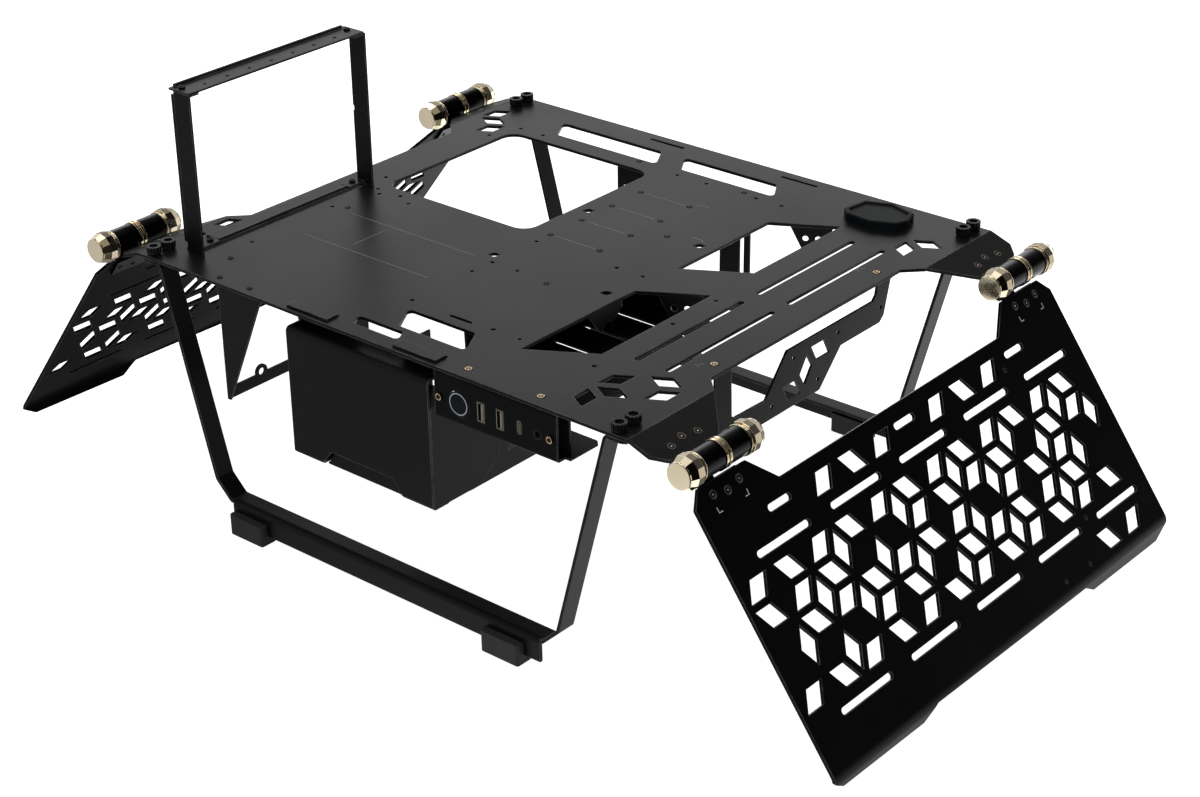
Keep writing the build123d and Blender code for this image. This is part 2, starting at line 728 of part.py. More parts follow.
with BuildPart() as card_post_near:
    add(post(card_front_y, 23.9).part)
    with BuildSketch(Plane.XZ.offset(-(card_front_y + thin_sheet))):
        Polygon(
            (bar_left_x, deck_top + 5.5), (card_left_x + 5, deck_top + 5.5), (card_left_x + 5, deck_top + 113),
            (bar_left_x, deck_top + 113), align=None,
        )
    extrude(amount=-thin_sheet)
card_post_near.part.label = "card_post_near"

with BuildPart() as card_post_far:
    add(post(card_back_y, -15.0).part)
    with BuildSketch(Plane.XZ.offset(-card_back_y + 1)):
        with Locations((card_left_x, deck_top + 57)):
            Rectangle(2, 4)
    extrude(amount=-4, mode=Mode.SUBTRACT)
card_post_far.part.label = "card_post_far"

with BuildPart() as card_bar:
    with BuildSketch(Plane.XY.offset(deck_top + post_h)):
        Polygon(
            (bar_left_x, card_front_y), (card_right_x, card_front_y), (card_right_x, card_back_y),
            (bar_left_x, card_back_y), align=None,
        )
    extrude(amount=thin_sheet)
    with BuildSketch(Plane.XY.offset(deck_top + card_top)):
        Polygon(
            (bar_left_x, card_front_y + 4), (bar_left_x + rim_t, card_front_y + 4),
            (bar_left_x + rim_t, card_back_y - 4), (bar_left_x, card_back_y - 4), align=None,
        )
    extrude(amount=1.9)
    rim_edges = card_bar.faces().sort_by(Axis.Z)[-1].edges().filter_by(Axis.Y)
    fillet(rim_edges, 1.0)
    with Locations(*[(-185.4, card_first_y + card_pitch * i, deck_top + card_top) for i in range(7)]):
        Hole(1.6, depth=3)
    with Locations(*[(x, y, deck_top + card_top) for x, y in bar_screws]):
        Hole(screw_r + running_gap, depth=3)
card_bar.part.label = "card_bar"

with BuildPart() as card_rail:
    rail_near_y = card_front_y + 24.5
    rail_far_y = card_back_y - 16.0
    with BuildSketch(Plane.XY.offset(deck_top)):
        Polygon(
            (rail_left_x, rail_near_y), (rail_right_x, rail_near_y), (rail_right_x, rail_far_y),
            (rail_left_x, rail_far_y), align=None,
        )
    extrude(amount=thin_sheet)
    with BuildSketch(Plane.XY.offset(deck_top + thin_sheet)):
        Polygon(
            (rail_right_x - 1.4, rail_near_y), (rail_right_x, rail_near_y), (rail_right_x, rail_far_y),
            (rail_right_x - 1.4, rail_far_y), align=None,
        )
    extrude(amount=0.6)
card_rail.part.label = "card_rail"

with BuildPart() as card_screws:
    places = [(x, y, deck_top + card_top) for x, y in bar_screws]
    places += [(x, y, deck_top + thin_sheet) for x, y in foot_screws]
    with Locations(*places):
        Cylinder(2.4, 1.3, align=(Align.CENTER, Align.CENTER, Align.MIN))
        Cylinder(screw_r, 2.6, align=(Align.CENTER, Align.CENTER, Align.MAX))
    with Locations(*[(x, y, z + 1.3) for x, y, z in places]):
        Hole(1.1, depth=0.9)
card_screws.part.label = "card_screws"

# Small black screws of the hanging bracket and the one beside it
with BuildPart() as hanger_fixings:
    with Locations(*[(x, y, deck_top) for x, y in hanger_screws + [side_screw]]):
        Cylinder(screw_r, 3.6, align=(Align.CENTER, Align.CENTER, Align.MAX))
        Cylinder(2.0, 0.5, align=(Align.CENTER, Align.CENTER, Align.MIN))
hanger_fixings.part.label = "hanger_screws"

# Front bracket for the power supply: broad front, hooks over the deck, side plates and a notched foot
psu_left = -70.4
psu_right = 58.0
psu_front = -(deck_half_y + 2.5)
psu_top = deck_top - 11.5
psu_bottom = deck_top - 106.0
psu_mid = (psu_left + psu_right) / 2
psu_section = strip(
    [(psu_front + 26.0, psu_top), (psu_front, psu_top), (psu_front, psu_bottom), (psu_front + 15, psu_bottom)],
    3.5, thin_sheet, Side.LEFT,
)
hook_in = hook_y + 0.4
hook_section = strip(
    [(hook_in, psu_top - thin_sheet), (hook_in, deck_top + thin_sheet), (hook_y - 10.2, deck_top + thin_sheet)],
    1.6, thin_sheet, Side.LEFT,
)
psu_side = [
    (psu_front + 2, psu_bottom + 0.5),
    (psu_front + 46.3, psu_bottom + 0.5),
    (psu_front + 65.0, psu_bottom + 16.4),
    (psu_front + 65.0, deck_top - 33.0),
    (psu_front + 2, deck_top - 33.0),
]
with BuildPart() as psu_bracket:
    with BuildSketch(Plane.YZ.offset(psu_left)):
        add(psu_section)
    extrude(amount=psu_right - psu_left)
    for x, w in hook_slots:
        with BuildSketch(Plane.YZ.offset(x - w / 2)):
            add(hook_section)
        extrude(amount=w)
    for x in (psu_left, psu_right - thin_sheet):
        with BuildSketch(Plane.YZ.offset(x)):
            Polygon(*psu_side, align=None)
        extrude(amount=thin_sheet)
    with BuildSketch(Plane.XZ.offset(-psu_front + 1)):
        Polygon(
            (-44, psu_bottom - 1), (31, psu_bottom - 1), (31, psu_bottom + 1), (22, psu_bottom + 12.5),
            (-34, psu_bottom + 12.5), (-44, psu_bottom + 1), align=None,
        )
    extrude(amount=-20, mode=Mode.SUBTRACT)
psu_bracket.part.label = "psu_bracket"

# Cradle floor of the power supply between the side plates
cradle_near = psu_front + 5.0
cradle_step = psu_front + 37.0
cradle_far = -70.0
with BuildPart() as psu_cradle:
    with BuildSketch(Plane.XZ.offset(-cradle_step)):
        Polygon(
            (psu_left + thin_sheet, deck_top - 107), (psu_right - thin_sheet, deck_top - 107),
            (psu_right - thin_sheet, deck_top - 62), (psu_right - 2 * thin_sheet, deck_top - 62),
            (psu_right - 2 * thin_sheet, deck_top - 107 + thin_sheet),
            (psu_left + 2 * thin_sheet, deck_top - 107 + thin_sheet),
            (psu_left + 2 * thin_sheet, deck_top - 62), (psu_left + thin_sheet, deck_top - 62), align=None,
        )
    extrude(amount=-(cradle_far - cradle_step))
    with BuildSketch(Plane.XY.offset(deck_top - 107)):
        Polygon((-43, cradle_step), (30, cradle_step), (30, cradle_near), (-43, cradle_near), align=None)
    extrude(amount=thin_sheet)
    with BuildSketch(Plane.XZ.offset(-cradle_near)):
        Polygon((-43, deck_top - 107), (30, deck_top - 107), (21, deck_top - 92), (-33, deck_top - 92), align=None)
    extrude(amount=-thin_sheet)
    with BuildSketch(Plane.YZ.offset(psu_left - 5)):
        for y in (-118, -88):
            with Locations((y, deck_top - 92)):
                SlotOverall(18, 4, mode=Mode.ADD)
    extrude(amount=psu_right - psu_left + 10, mode=Mode.SUBTRACT)
psu_cradle.part.label = "psu_cradle"

# Rear bracket of the power supply, screwed under the far windows
rear_y = 138.0
rear_screws = [(-55.7, 148.5), (43.1, 147.6)]
rear_section = strip(
    [(rear_y + 14.0, pad_z), (rear_y, pad_z), (rear_y, deck_top - 92.0)], 2.5, thin_sheet, Side.LEFT
)
with BuildPart() as psu_rear:
    with BuildSketch(Plane.YZ.offset(psu_left + 2)):
        add(rear_section)
    extrude(amount=psu_right - psu_left - 4)
    with BuildSketch(Plane.XZ.offset(-rear_y + 1)):
        for x in (psu_mid - 55, psu_mid + 55):
            with Locations((x, deck_top - 46)):
                SlotOverall(58, 4, rotation=90)
        with Locations((psu_mid, deck_top - 50)):
            RectangleRounded(70, 50, 8)
    extrude(amount=-4, mode=Mode.SUBTRACT)
    with Locations(*[(x, y, pad_z) for x, y in rear_screws]):
        Hole(1.6, depth=4)
psu_rear.part.label = "psu_rear_bracket"

# Tray under the cable opening
tray_z = deck_top - 36.0
tray_near_y = -136.2
with BuildPart() as drive_tray:
    with BuildSketch(Plane.XZ.offset(-tray_near_y)):
        Polygon(
            (12, pad_z), (30, pad_z), (30, pad_z - thin_sheet), (30 + thin_sheet, tray_z), (134, tray_z),
            (134, tray_z - thin_sheet), (30, tray_z - thin_sheet), (30 - thin_sheet, pad_z - thin_sheet),
            (12, pad_z - thin_sheet), align=None,
        )
    extrude(amount=-(20 - tray_near_y))
    with BuildSketch(Plane.XY.offset(tray_z)):
        for i in range(4):
            with Locations((85.5, -8.2 - 30.5 * i)):
                SlotOverall(74, 3.2)
    extrude(amount=-thin_sheet * 2, mode=Mode.SUBTRACT)
    with BuildSketch(Plane.XZ.offset(-18.5)):
        Polygon((30, tray_z), (84, tray_z), (84, deck_top - 12), (76, pad_z - 1.5), (30, pad_z - 1.5), align=None)
    extrude(amount=-thin_sheet)
drive_tray.part.label = "drive_tray"

# Front panel with the power button and the sockets
io_left = 62.0
io_right = 163.8
io_front = -deck_half_y
io_bottom = deck_top - 35.5
io_z = deck_top - 20.5
button_x = 83.0
button_r = 8.6
usb_xs = [101.5, 117.4]
usb_c_x = 133.3
audio_x = 148.1
panel_screw_xs = [66.0, 158.3]
board_y = io_front + 14.5
io_section = strip(
    [(io_front + 19.5, pad_z), (io_front, pad_z), (io_front, io_bottom), (io_front + 35.5, io_bottom)],
    2.2, thin_sheet, Side.LEFT,
)
with BuildPart() as io_housing:
    with BuildSketch(Plane.YZ.offset(io_left)):
        add(io_section)
    extrude(amount=io_right - io_left)
    with BuildSketch(Plane.XY.offset(io_bottom)):
        Polygon(
            (io_left, io_front + 7.5), (io_right + 4.2, io_front + 7.5), (io_right + 4.2, io_front + 33.5),
            (io_right + 1.2, io_front + 36.5), (io_left, io_front + 36.5), align=None,
        )
        for x in (86.0, 143.2):
            with Locations((x, io_front + 30.2)):
                SlotOverall(36, 3, mode=Mode.SUBTRACT)
    extrude(amount=thin_sheet)
    with BuildSketch(Plane.XZ.offset(-io_front + 1)):
        with Locations((button_x, io_z)):
            Circle(button_r + part_gap)
        with Locations(*[(x, io_z) for x in usb_xs]):
            Rectangle(6.1, 13.7)
        with Locations((usb_c_x, io_z)):
            SlotOverall(9.4, 3.6, rotation=90)
        with Locations((audio_x, io_z)):
            Circle(3.2)
        with Locations(*[(x, io_z) for x in panel_screw_xs]):
            Circle(1.5)
    extrude(amount=-4, mode=Mode.SUBTRACT)
    with Locations(*[(x, y, pad_z) for x, y in io_screws]):
        Hole(screw_r + running_gap, depth=3)
io_housing.part.label = "io_housing"

with BuildPart() as io_board:
    with BuildSketch(Plane.XZ.offset(-board_y)):
        Polygon(
            (io_left + 3, io_bottom + thin_sheet), (io_right - 2.5, io_bottom + thin_sheet),
            (io_right - 2.5, pad_z - thin_sheet - 2), (io_left + 3, pad_z - thin_sheet - 2), align=None,
        )
    extrude(amount=-1.6)
io_board.part.label = "io_board"

usb_depth = board_y - io_front
for x, name in zip(usb_xs, ("left", "right")):
    with BuildPart() as usb_a:
        with BuildSketch(Plane.XZ.offset(-io_front + 0.2)):
            with Locations((x, io_z)):
                RectangleRounded(5.7, 13.2, 0.4)
        extrude(amount=-usb_depth - 0.2)
        with BuildSketch(Plane.XZ.offset(-io_front + 0.2)):
            with Locations((x, io_z)):
                Rectangle(4.7, 12.2)
            with Locations((x + 1.0, io_z)):
                Rectangle(1.6, 11.2, mode=Mode.SUBTRACT)
        extrude(amount=-10, mode=Mode.SUBTRACT)
    usb_a.part.label = "usb_a_" + name
    export_step(usb_a.part, "parts/usb_a_" + name + ".step")

with BuildPart() as usb_c:
    with BuildSketch(Plane.XZ.offset(-io_front + 0.2)):
        with Locations((usb_c_x, io_z)):
            SlotOverall(9.0, 3.2, rotation=90)
    extrude(amount=-usb_depth - 0.2)
    with BuildSketch(Plane.XZ.offset(-io_front + 0.2)):
        with Locations((usb_c_x, io_z)):
            SlotOverall(8.3, 2.5, rotation=90)
            Rectangle(0.7, 6.4, mode=Mode.SUBTRACT)
    extrude(amount=-7, mode=Mode.SUBTRACT)
usb_c.part.label = "usb_c"

with BuildPart() as audio_jack:
    with BuildSketch(Plane.XZ.offset(-io_front + 0.2)):
        with Locations((audio_x, io_z)):
            Circle(3.1)
    extrude(amount=-3)
    with BuildSketch(Plane.XZ.offset(-io_front - 2.5)):
        with Locations((audio_x, io_z)):
            Rectangle(7, 7)
    extrude(amount=-(usb_depth - 2.5))
    with BuildSketch(Plane.XZ.offset(-io_front + 0.2)):
        with Locations((audio_x, io_z)):
            Circle(1.8)
    extrude(amount=-11, mode=Mode.SUBTRACT)
audio_jack.part.label = "audio_jack"

button_out = 0.8
button_travel = 0.9
with BuildPart() as power_button:
    with BuildSketch(Plane.XZ.offset(-io_front + button_out)):
        with Locations((button_x, io_z)):
            Circle(button_r)
    extrude(amount=-3.5)
    with BuildSketch(Plane.XZ.offset(-io_front)):
        with Locations((button_x, io_z)):
            Circle(3.0)
    extrude(amount=-(usb_depth - button_travel - 0.4))
    with BuildSketch(Plane.XZ.offset(-io_front + button_out)):
        with Locations((button_x, io_z)):
            Circle(7.6)
            Circle(6.9, mode=Mode.SUBTRACT)
    extrude(amount=-0.5, mode=Mode.SUBTRACT)
    front_circles = power_button.edges().filter_by(GeomType.CIRCLE).sort_by(Axis.Y)[0:3]
    chamfer(front_circles.sort_by(SortBy.RADIUS)[-1], 0.3)
power_button.part.label = "power_button"

with BuildPart() as button_ring:
    with BuildSketch(Plane.XZ.offset(-io_front + button_out)):
        with Locations((button_x, io_z)):
            Circle(7.6)
            Circle(6.9, mode=Mode.SUBTRACT)
    extrude(amount=-0.5)
button_ring.part.label = "button_ring"

with BuildPart() as panel_screws:
    for x in panel_screw_xs:
        with BuildSketch(Plane.XZ.offset(-io_front + 1.2)):
            with Locations((x, io_z)):
                Circle(2.6)
                RegularPolygon(1.2, 6, mode=Mode.SUBTRACT)
        extrude(amount=-1.2)
        with BuildSketch(Plane.XZ.offset(-io_front + 0.4)):
            with Locations((x, io_z)):
                Circle(1.4)
        extrude(amount=-4.4)
panel_screws.part.label = "panel_screws"

# Pump bracket hung from the right edge of the deck
pump_x = 205.5
pump_t = 2.0
pump_outline = [
    (-96.5, pad_z), (-96.5, deck_top - 52), (-91.5, deck_top - 57), (16.5, deck_top - 57), (39.8, deck_top - 33),
    (85.0, deck_top - 33), (89.8, deck_top - 29), (97.0, pad_z), (81.5, pad_z), (80.0, deck_top - 11),
    (76.5, deck_top - 14.5), (-20.6, deck_top - 14.5), (-43.5, deck_top - 41.5), (-75.5, deck_top - 40.5),
    (-79.5, deck_top - 38), (-80.5, pad_z),
]
pump_holes = [(-13.5, -22.3), (36.3, -22.3), (14.3, -48.4), (-36.4, -48.5), (86.0, -22.0)]
with BuildPart() as pump_bracket:
    with BuildSketch(Plane.YZ.offset(pump_x - pump_t)):
        Polygon(*pump_outline, align=None)
        Polygon(
            (5.8, deck_top - 21.5), (20.5, deck_top - 21.5), (27.0, deck_top - 33.5), (12.5, deck_top - 33.5),
            align=None, mode=Mode.SUBTRACT,
        )
        Polygon(
            (1.3, deck_top - 25.2), (7.6, deck_top - 35.8), (-0.3, deck_top - 47.5), (-6.5, deck_top - 37.2),
            align=None, mode=Mode.SUBTRACT,
        )
        Polygon(
            (-25.0, deck_top - 39.3), (-11.2, deck_top - 39.3), (-4.5, deck_top - 51.5), (-18.5, deck_top - 51.5),
            align=None, mode=Mode.SUBTRACT,
        )
        for y, z in pump_holes:
            with Locations((y, deck_top + z)):
                Circle(1.8, mode=Mode.SUBTRACT)
    extrude(amount=pump_t)
    with BuildSketch(Plane.XY.offset(pad_z)):
        for y, w in ((-88.5, 18.0), (89.5, 18.0)):
            with Locations((197.5, y)):
                Rectangle(16.0, w)
        with Locations(*pump_screws):
            Circle(screw_r + running_gap, mode=Mode.SUBTRACT)
    extrude(amount=-pump_t)
pump_bracket.part.label = "pump_bracket"

# Hanging bracket: pointed front plate, lower bar with a ring eye, plain plate at the far end
hanger_y = -(deck_half_y - 3.0)
hanger_x = -141.5
hanger_far = -60.0
with BuildPart() as hanger:
    with BuildSketch(Plane.XZ.offset(-hanger_y)):
        Polygon(
            (-141.5, pad_z), (-141.5, deck_top - 90), (-138.5, deck_top - 90), (-101.5, deck_top - 8), (-97.5, pad_z),
            align=None,
        )
    extrude(amount=-thin_sheet)
    with BuildSketch(Plane.XY.offset(pad_z)):
        Polygon((-149, hanger_y), (-104, hanger_y), (-104, hanger_y + 12.5), (-149, hanger_y + 12.5), align=None)
        with Locations(*hanger_screws):
            Circle(screw_r + running_gap, mode=Mode.SUBTRACT)
    extrude(amount=-thin_sheet)
    with BuildSketch(Plane.YZ.offset(hanger_x)):
        Polygon(
            (hanger_y, deck_top - 90), (hanger_far, deck_top - 90), (hanger_far, pad_z), (hanger_far - 14, pad_z),
            (hanger_far - 14, deck_top - 81.5), (hanger_y + 8, deck_top - 81.5), (hanger_y, deck_top - 74), align=None,
        )
        with Locations((hanger_y + 31.5, deck_top - 80.5)):
            Circle(5.4)
            Circle(2.7, mode=Mode.SUBTRACT)
    extrude(amount=thin_sheet)
    with BuildSketch(Plane.XY.offset(pad_z)):
        Polygon((hanger_x, -74), (-124, -74), (-124, hanger_far), (hanger_x, hanger_far), align=None)
    extrude(amount=-thin_sheet)
hanger.part.label = "hanging_bracket"

# Loose cover puck resting on the deck
puck_points = [
    (124.0, 158.0), (130.5, 151.5), (151.0, 149.5), (168.5, 157.5), (172.5, 166.5), (168.0, 180.5), (147.0, 187.0),
    (127.0, 179.0),
]
with BuildPart() as puck:
    with BuildSketch(Plane.XY.offset(deck_top)):
        Polygon(*puck_points, align=None)
    extrude(amount=6.0)
    chamfer(puck.faces().sort_by(Axis.Z)[-1].edges(), 0.8)
    with BuildSketch(Plane.XY.offset(deck_top + 4.8)):
        Polygon(*puck_points, align=None)
        offset(amount=-3.0)
    extrude(amount=2, mode=Mode.SUBTRACT)
puck.part.label = "cover_puck"

for piece in (
    deck_plate, right_wing, left_wing, deck_screws, bracket_screws, leg_near, leg_far, thumb_screws,
    card_post_near, card_post_far, card_bar, card_rail, card_screws, hanger_fixings, psu_bracket, psu_cradle,
    psu_rear, drive_tray, io_housing, io_board, usb_c, audio_jack, power_button, button_ring, panel_screws,
    pump_bracket, hanger, puck,
):
    export_step(piece.part, "parts/" + piece.part.label + ".step")
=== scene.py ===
import json
import math

import bmesh
import bpy
from mathutils import Matrix, Vector


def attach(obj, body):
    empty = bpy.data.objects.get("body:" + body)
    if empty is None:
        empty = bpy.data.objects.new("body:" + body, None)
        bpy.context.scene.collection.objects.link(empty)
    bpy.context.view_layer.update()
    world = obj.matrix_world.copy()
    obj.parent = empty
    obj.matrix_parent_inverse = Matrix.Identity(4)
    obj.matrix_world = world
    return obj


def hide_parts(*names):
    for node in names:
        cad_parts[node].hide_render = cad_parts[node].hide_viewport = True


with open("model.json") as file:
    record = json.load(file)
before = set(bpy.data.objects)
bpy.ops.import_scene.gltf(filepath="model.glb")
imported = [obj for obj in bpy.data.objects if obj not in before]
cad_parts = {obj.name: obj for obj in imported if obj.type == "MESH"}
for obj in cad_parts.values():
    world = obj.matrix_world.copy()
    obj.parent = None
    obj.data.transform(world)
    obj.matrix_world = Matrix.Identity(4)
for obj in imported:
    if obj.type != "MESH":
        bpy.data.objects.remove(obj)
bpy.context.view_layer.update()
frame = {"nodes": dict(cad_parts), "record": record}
nodes = frame["nodes"]
scene = bpy.context.scene

# Sizes in metres, or in millimetres where the name says so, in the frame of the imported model
deck_z = 0.195
panel_y = -0.1995
panel_z = 0.1745
hinge_x = 0.261
hinge_z = 0.1862
hinge_centre_mm = 168.0
hinge_ys = (-hinge_centre_mm / 1000, hinge_centre_mm / 1000)
drop_right = math.radians(54.0)
drop_left = math.radians(52.5)
wing_rise = 0.0053
fold_x = 0.220
tab_slope = math.radians(20.0)
screw_pitch_mm = 12.65
print_lift = 0.00003


# Shader node helpers
def feed(tree, socket, value):
    """Links what comes from another node, or sets a plain number or colour."""
    if isinstance(value, bpy.types.NodeSocket):
        tree.links.new(value, socket)
    elif isinstance(value, tuple):
        socket.default_value = (*value, 1.0)
    else:
        socket.default_value = value


def math_node(tree, operation, a, b):
    node = tree.nodes.new("ShaderNodeMath")
    node.operation = operation
    feed(tree, node.inputs[0], a)
    feed(tree, node.inputs[1], b)
    return node.outputs[0]


def spread(tree, value, low, high, out_low, out_high):
    """Maps a value from one range to another, held at both ends."""
    node = tree.nodes.new("ShaderNodeMapRange")
    feed(tree, node.inputs["Value"], value)
    feed(tree, node.inputs["From Min"], low)
    feed(tree, node.inputs["From Max"], high)
    feed(tree, node.inputs["To Min"], out_low)
    feed(tree, node.inputs["To Max"], out_high)
    return node.outputs["Result"]


def mix_colour(tree, factor, first, second):
    node = tree.nodes.new("ShaderNodeMix")
    node.data_type = "RGBA"
    feed(tree, node.inputs["Factor"], factor)
    feed(tree, node.inputs["A"], first)
    feed(tree, node.inputs["B"], second)
    return node.outputs["Result"]


def noise(tree, vector, scale, detail, roughness=0.5):
    node = tree.nodes.new("ShaderNodeTexNoise")
    feed(tree, node.inputs["Vector"], vector)
    feed(tree, node.inputs["Scale"], scale)
    feed(tree, node.inputs["Detail"], detail)
    feed(tree, node.inputs["Roughness"], roughness)
    return node.outputs["Fac"]


def effect_group(name, inputs, outputs):
    """An empty shader group with named sockets, and its input and output nodes."""
    group = bpy.data.node_groups.new(name, "ShaderNodeTree")
    for socket_name, kind, value in inputs:
        socket = group.interface.new_socket(name=socket_name, in_out="INPUT", socket_type=kind)
        socket.default_value = value
    for socket_name, kind in outputs:
        group.interface.new_socket(name=socket_name, in_out="OUTPUT", socket_type=kind)
    return group, group.nodes.new("NodeGroupInput"), group.nodes.new("NodeGroupOutput")


def make_coat_grain():
    """Fine orange-peel grain of powder coating, with slow cloudy changes of tone."""
    group, source, sink = effect_group(
        "coat_grain",
        [("Grain", "NodeSocketFloat", 2600.0), ("Cloud", "NodeSocketFloat", 9.0)],
        [("Height", "NodeSocketFloat"), ("Tone", "NodeSocketFloat"), ("Fine", "NodeSocketFloat")],
    )
    place = group.nodes.new("ShaderNodeTexCoord").outputs["Object"]
    fine = noise(group, place, source.outputs["Grain"], 2.0, 0.6)
    coarse = noise(group, place, math_node(group, "MULTIPLY", source.outputs["Grain"], 0.37), 1.0)
    fine_share = math_node(group, "MULTIPLY", fine, 0.65)
    coarse_share = math_node(group, "MULTIPLY", coarse, 0.35)
    group.links.new(math_node(group, "ADD", fine_share, coarse_share), sink.inputs["Height"])
    group.links.new(noise(group, place, source.outputs["Cloud"], 3.0, 0.55), sink.inputs["Tone"])
    group.links.new(fine, sink.inputs["Fine"])
    return group


def make_edge_wear_and_highlight():
    """Mask that is 1 on sheet edges, which are painted paler as rubbed wear and as a painted highlight, and
    the softened normal of those edges.
    """
    group, source, sink = effect_group(
        "edge_wear_and_highlight",
        [("Radius", "NodeSocketFloat", 0.0006), ("Patch", "NodeSocketFloat", 60.0)],
        [("Mask", "NodeSocketFloat"), ("Normal", "NodeSocketVector")],
    )
    bevel = group.nodes.new("ShaderNodeBevel")
    bevel.samples = 4
    group.links.new(source.outputs["Radius"], bevel.inputs["Radius"])
    geometry = group.nodes.new("ShaderNodeNewGeometry")
    dot = group.nodes.new("ShaderNodeVectorMath")
    dot.operation = "DOT_PRODUCT"
    group.links.new(bevel.outputs["Normal"], dot.inputs[0])
    group.links.new(geometry.outputs["Normal"], dot.inputs[1])
    place = group.nodes.new("ShaderNodeTexCoord").outputs["Object"]
    edge = spread(group, dot.outputs["Value"], 0.985, 0.86, 0.0, 1.0)
    patches = spread(group, noise(group, place, source.outputs["Patch"], 4.0, 0.65), 0.38, 0.60, 0.30, 1.0)
    group.links.new(math_node(group, "MULTIPLY", edge, patches), sink.inputs["Mask"])
    group.links.new(bevel.outputs["Normal"], sink.inputs["Normal"])
    return group


def make_turned_rings():
    """Fine circular lathe lines about the hinge axis, which runs along Y."""
    group, source, sink = effect_group(
        "turned_rings",
        [("Pitch", "NodeSocketFloat", 5200.0)],
        [("Height", "NodeSocketFloat"), ("Smear", "NodeSocketFloat")],
    )
    place = group.nodes.new("ShaderNodeTexCoord").outputs["Object"]
    parts = group.nodes.new("ShaderNodeSeparateXYZ")
    group.links.new(place, parts.inputs[0])
    line = group.nodes.new("ShaderNodeCombineXYZ")
    along = math_node(group, "MULTIPLY", parts.outputs["Y"], source.outputs["Pitch"])
    group.links.new(along, line.inputs["Y"])
    group.links.new(noise(group, line.outputs[0], 1.0, 2.0), sink.inputs["Height"])
    group.links.new(noise(group, place, 90.0, 3.0), sink.inputs["Smear"])
    return group


def make_facet_glints():
    """Painted reflections: light and dark patches in the colour of polished facets, standing in for what they
    mirror of the room.
    """
    group, source, sink = effect_group(
        "facet_glints",
        [("Size", "NodeSocketFloat", 1.9), ("Shade", "NodeSocketFloat", 0.10)],
        [("Mask", "NodeSocketFloat")],
    )
    mirror = group.nodes.new("ShaderNodeTexCoord").outputs["Reflection"]
    patches = spread(group, noise(group, mirror, source.outputs["Size"], 1.0), 0.40, 0.48, 0.3, 1.0)
    parts = group.nodes.new("ShaderNodeSeparateXYZ")
    group.links.new(mirror, parts.inputs[0])
    aside = math_node(group, "SUBTRACT", parts.outputs["X"], parts.outputs["Y"])
    shaded = spread(group, aside, 0.32, 0.46, 1.0, source.outputs["Shade"])
    patches = math_node(group, "MINIMUM", patches, shaded)
    dot = group.nodes.new("ShaderNodeVectorMath")
    dot.operation = "DOT_PRODUCT"
    group.links.new(mirror, dot.inputs[0])
    dot.inputs[1].default_value = (-0.577, -0.678, -0.455)
    # Painted reflection of the floor: bright where the facets mirror the floor on the near left.
    painted_floor_reflection = spread(group, dot.outputs["Value"], 0.90, 0.96, 0.0, 1.0)
    group.links.new(math_node(group, "MAXIMUM", patches, painted_floor_reflection), sink.inputs["Mask"])
    return group


coat_grain = make_coat_grain()
edge_wear_and_highlight = make_edge_wear_and_highlight()
turned_rings = make_turned_rings()
facet_glints = make_facet_glints()


def place_group(tree, group, **values):
    node = tree.nodes.new("ShaderNodeGroup")
    node.node_tree = group
    for name, value in values.items():
        node.inputs[name].default_value = value
    return node


def new_material(name):
    material = bpy.data.materials.new(name)
    material.use_nodes = True
    tree = material.node_tree
    return material, tree, tree.nodes["Principled BSDF"]


def bump(tree, shader, height, distance, strength, normal):
    node = tree.nodes.new("ShaderNodeBump")
    node.inputs["Strength"].default_value = strength
    node.inputs["Distance"].default_value = distance
    tree.links.new(height, node.inputs["Height"])
    tree.links.new(normal, node.inputs["Normal"])
    tree.links.new(node.outputs["Normal"], shader.inputs["Normal"])


def powder_coat(name, dark, light, rough, worn_and_highlight=(0.30, 0.30, 0.31), gloss=0.09):
    """Satin powder coat on sheet metal, paler along the sheet's edges: partly rubbed wear, partly a painted
    highlight.
    """
    material, tree, shader = new_material(name)
    coat = place_group(tree, coat_grain)
    wear_and_highlight = place_group(tree, edge_wear_and_highlight, Radius=0.0009)
    tone = mix_colour(tree, spread(tree, coat.outputs["Tone"], 0.3, 0.7, 0.0, 1.0), dark, light)
    speck = spread(tree, coat.outputs["Fine"], 0.35, 0.75, 0.0, 0.35)
    tone = mix_colour(tree, speck, tone, tuple(c * 1.6 for c in light))
    # Paler sheet edges: rubbed wear and a painted highlight.
    rubbed_and_lit = math_node(tree, "MULTIPLY", wear_and_highlight.outputs["Mask"], 0.85)
    tree.links.new(mix_colour(tree, rubbed_and_lit, tone, worn_and_highlight), shader.inputs["Base Color"])
    base = spread(tree, coat.outputs["Tone"], 0.25, 0.75, rough - 0.03, rough + 0.04)
    roughness = spread(tree, wear_and_highlight.outputs["Mask"], 0.0, 1.0, base, rough - 0.12)
    tree.links.new(roughness, shader.inputs["Roughness"])
    shader.inputs["Specular IOR Level"].default_value = gloss
    bump(tree, shader, coat.outputs["Height"], 0.00003, 0.5, wear_and_highlight.outputs["Normal"])
    return material


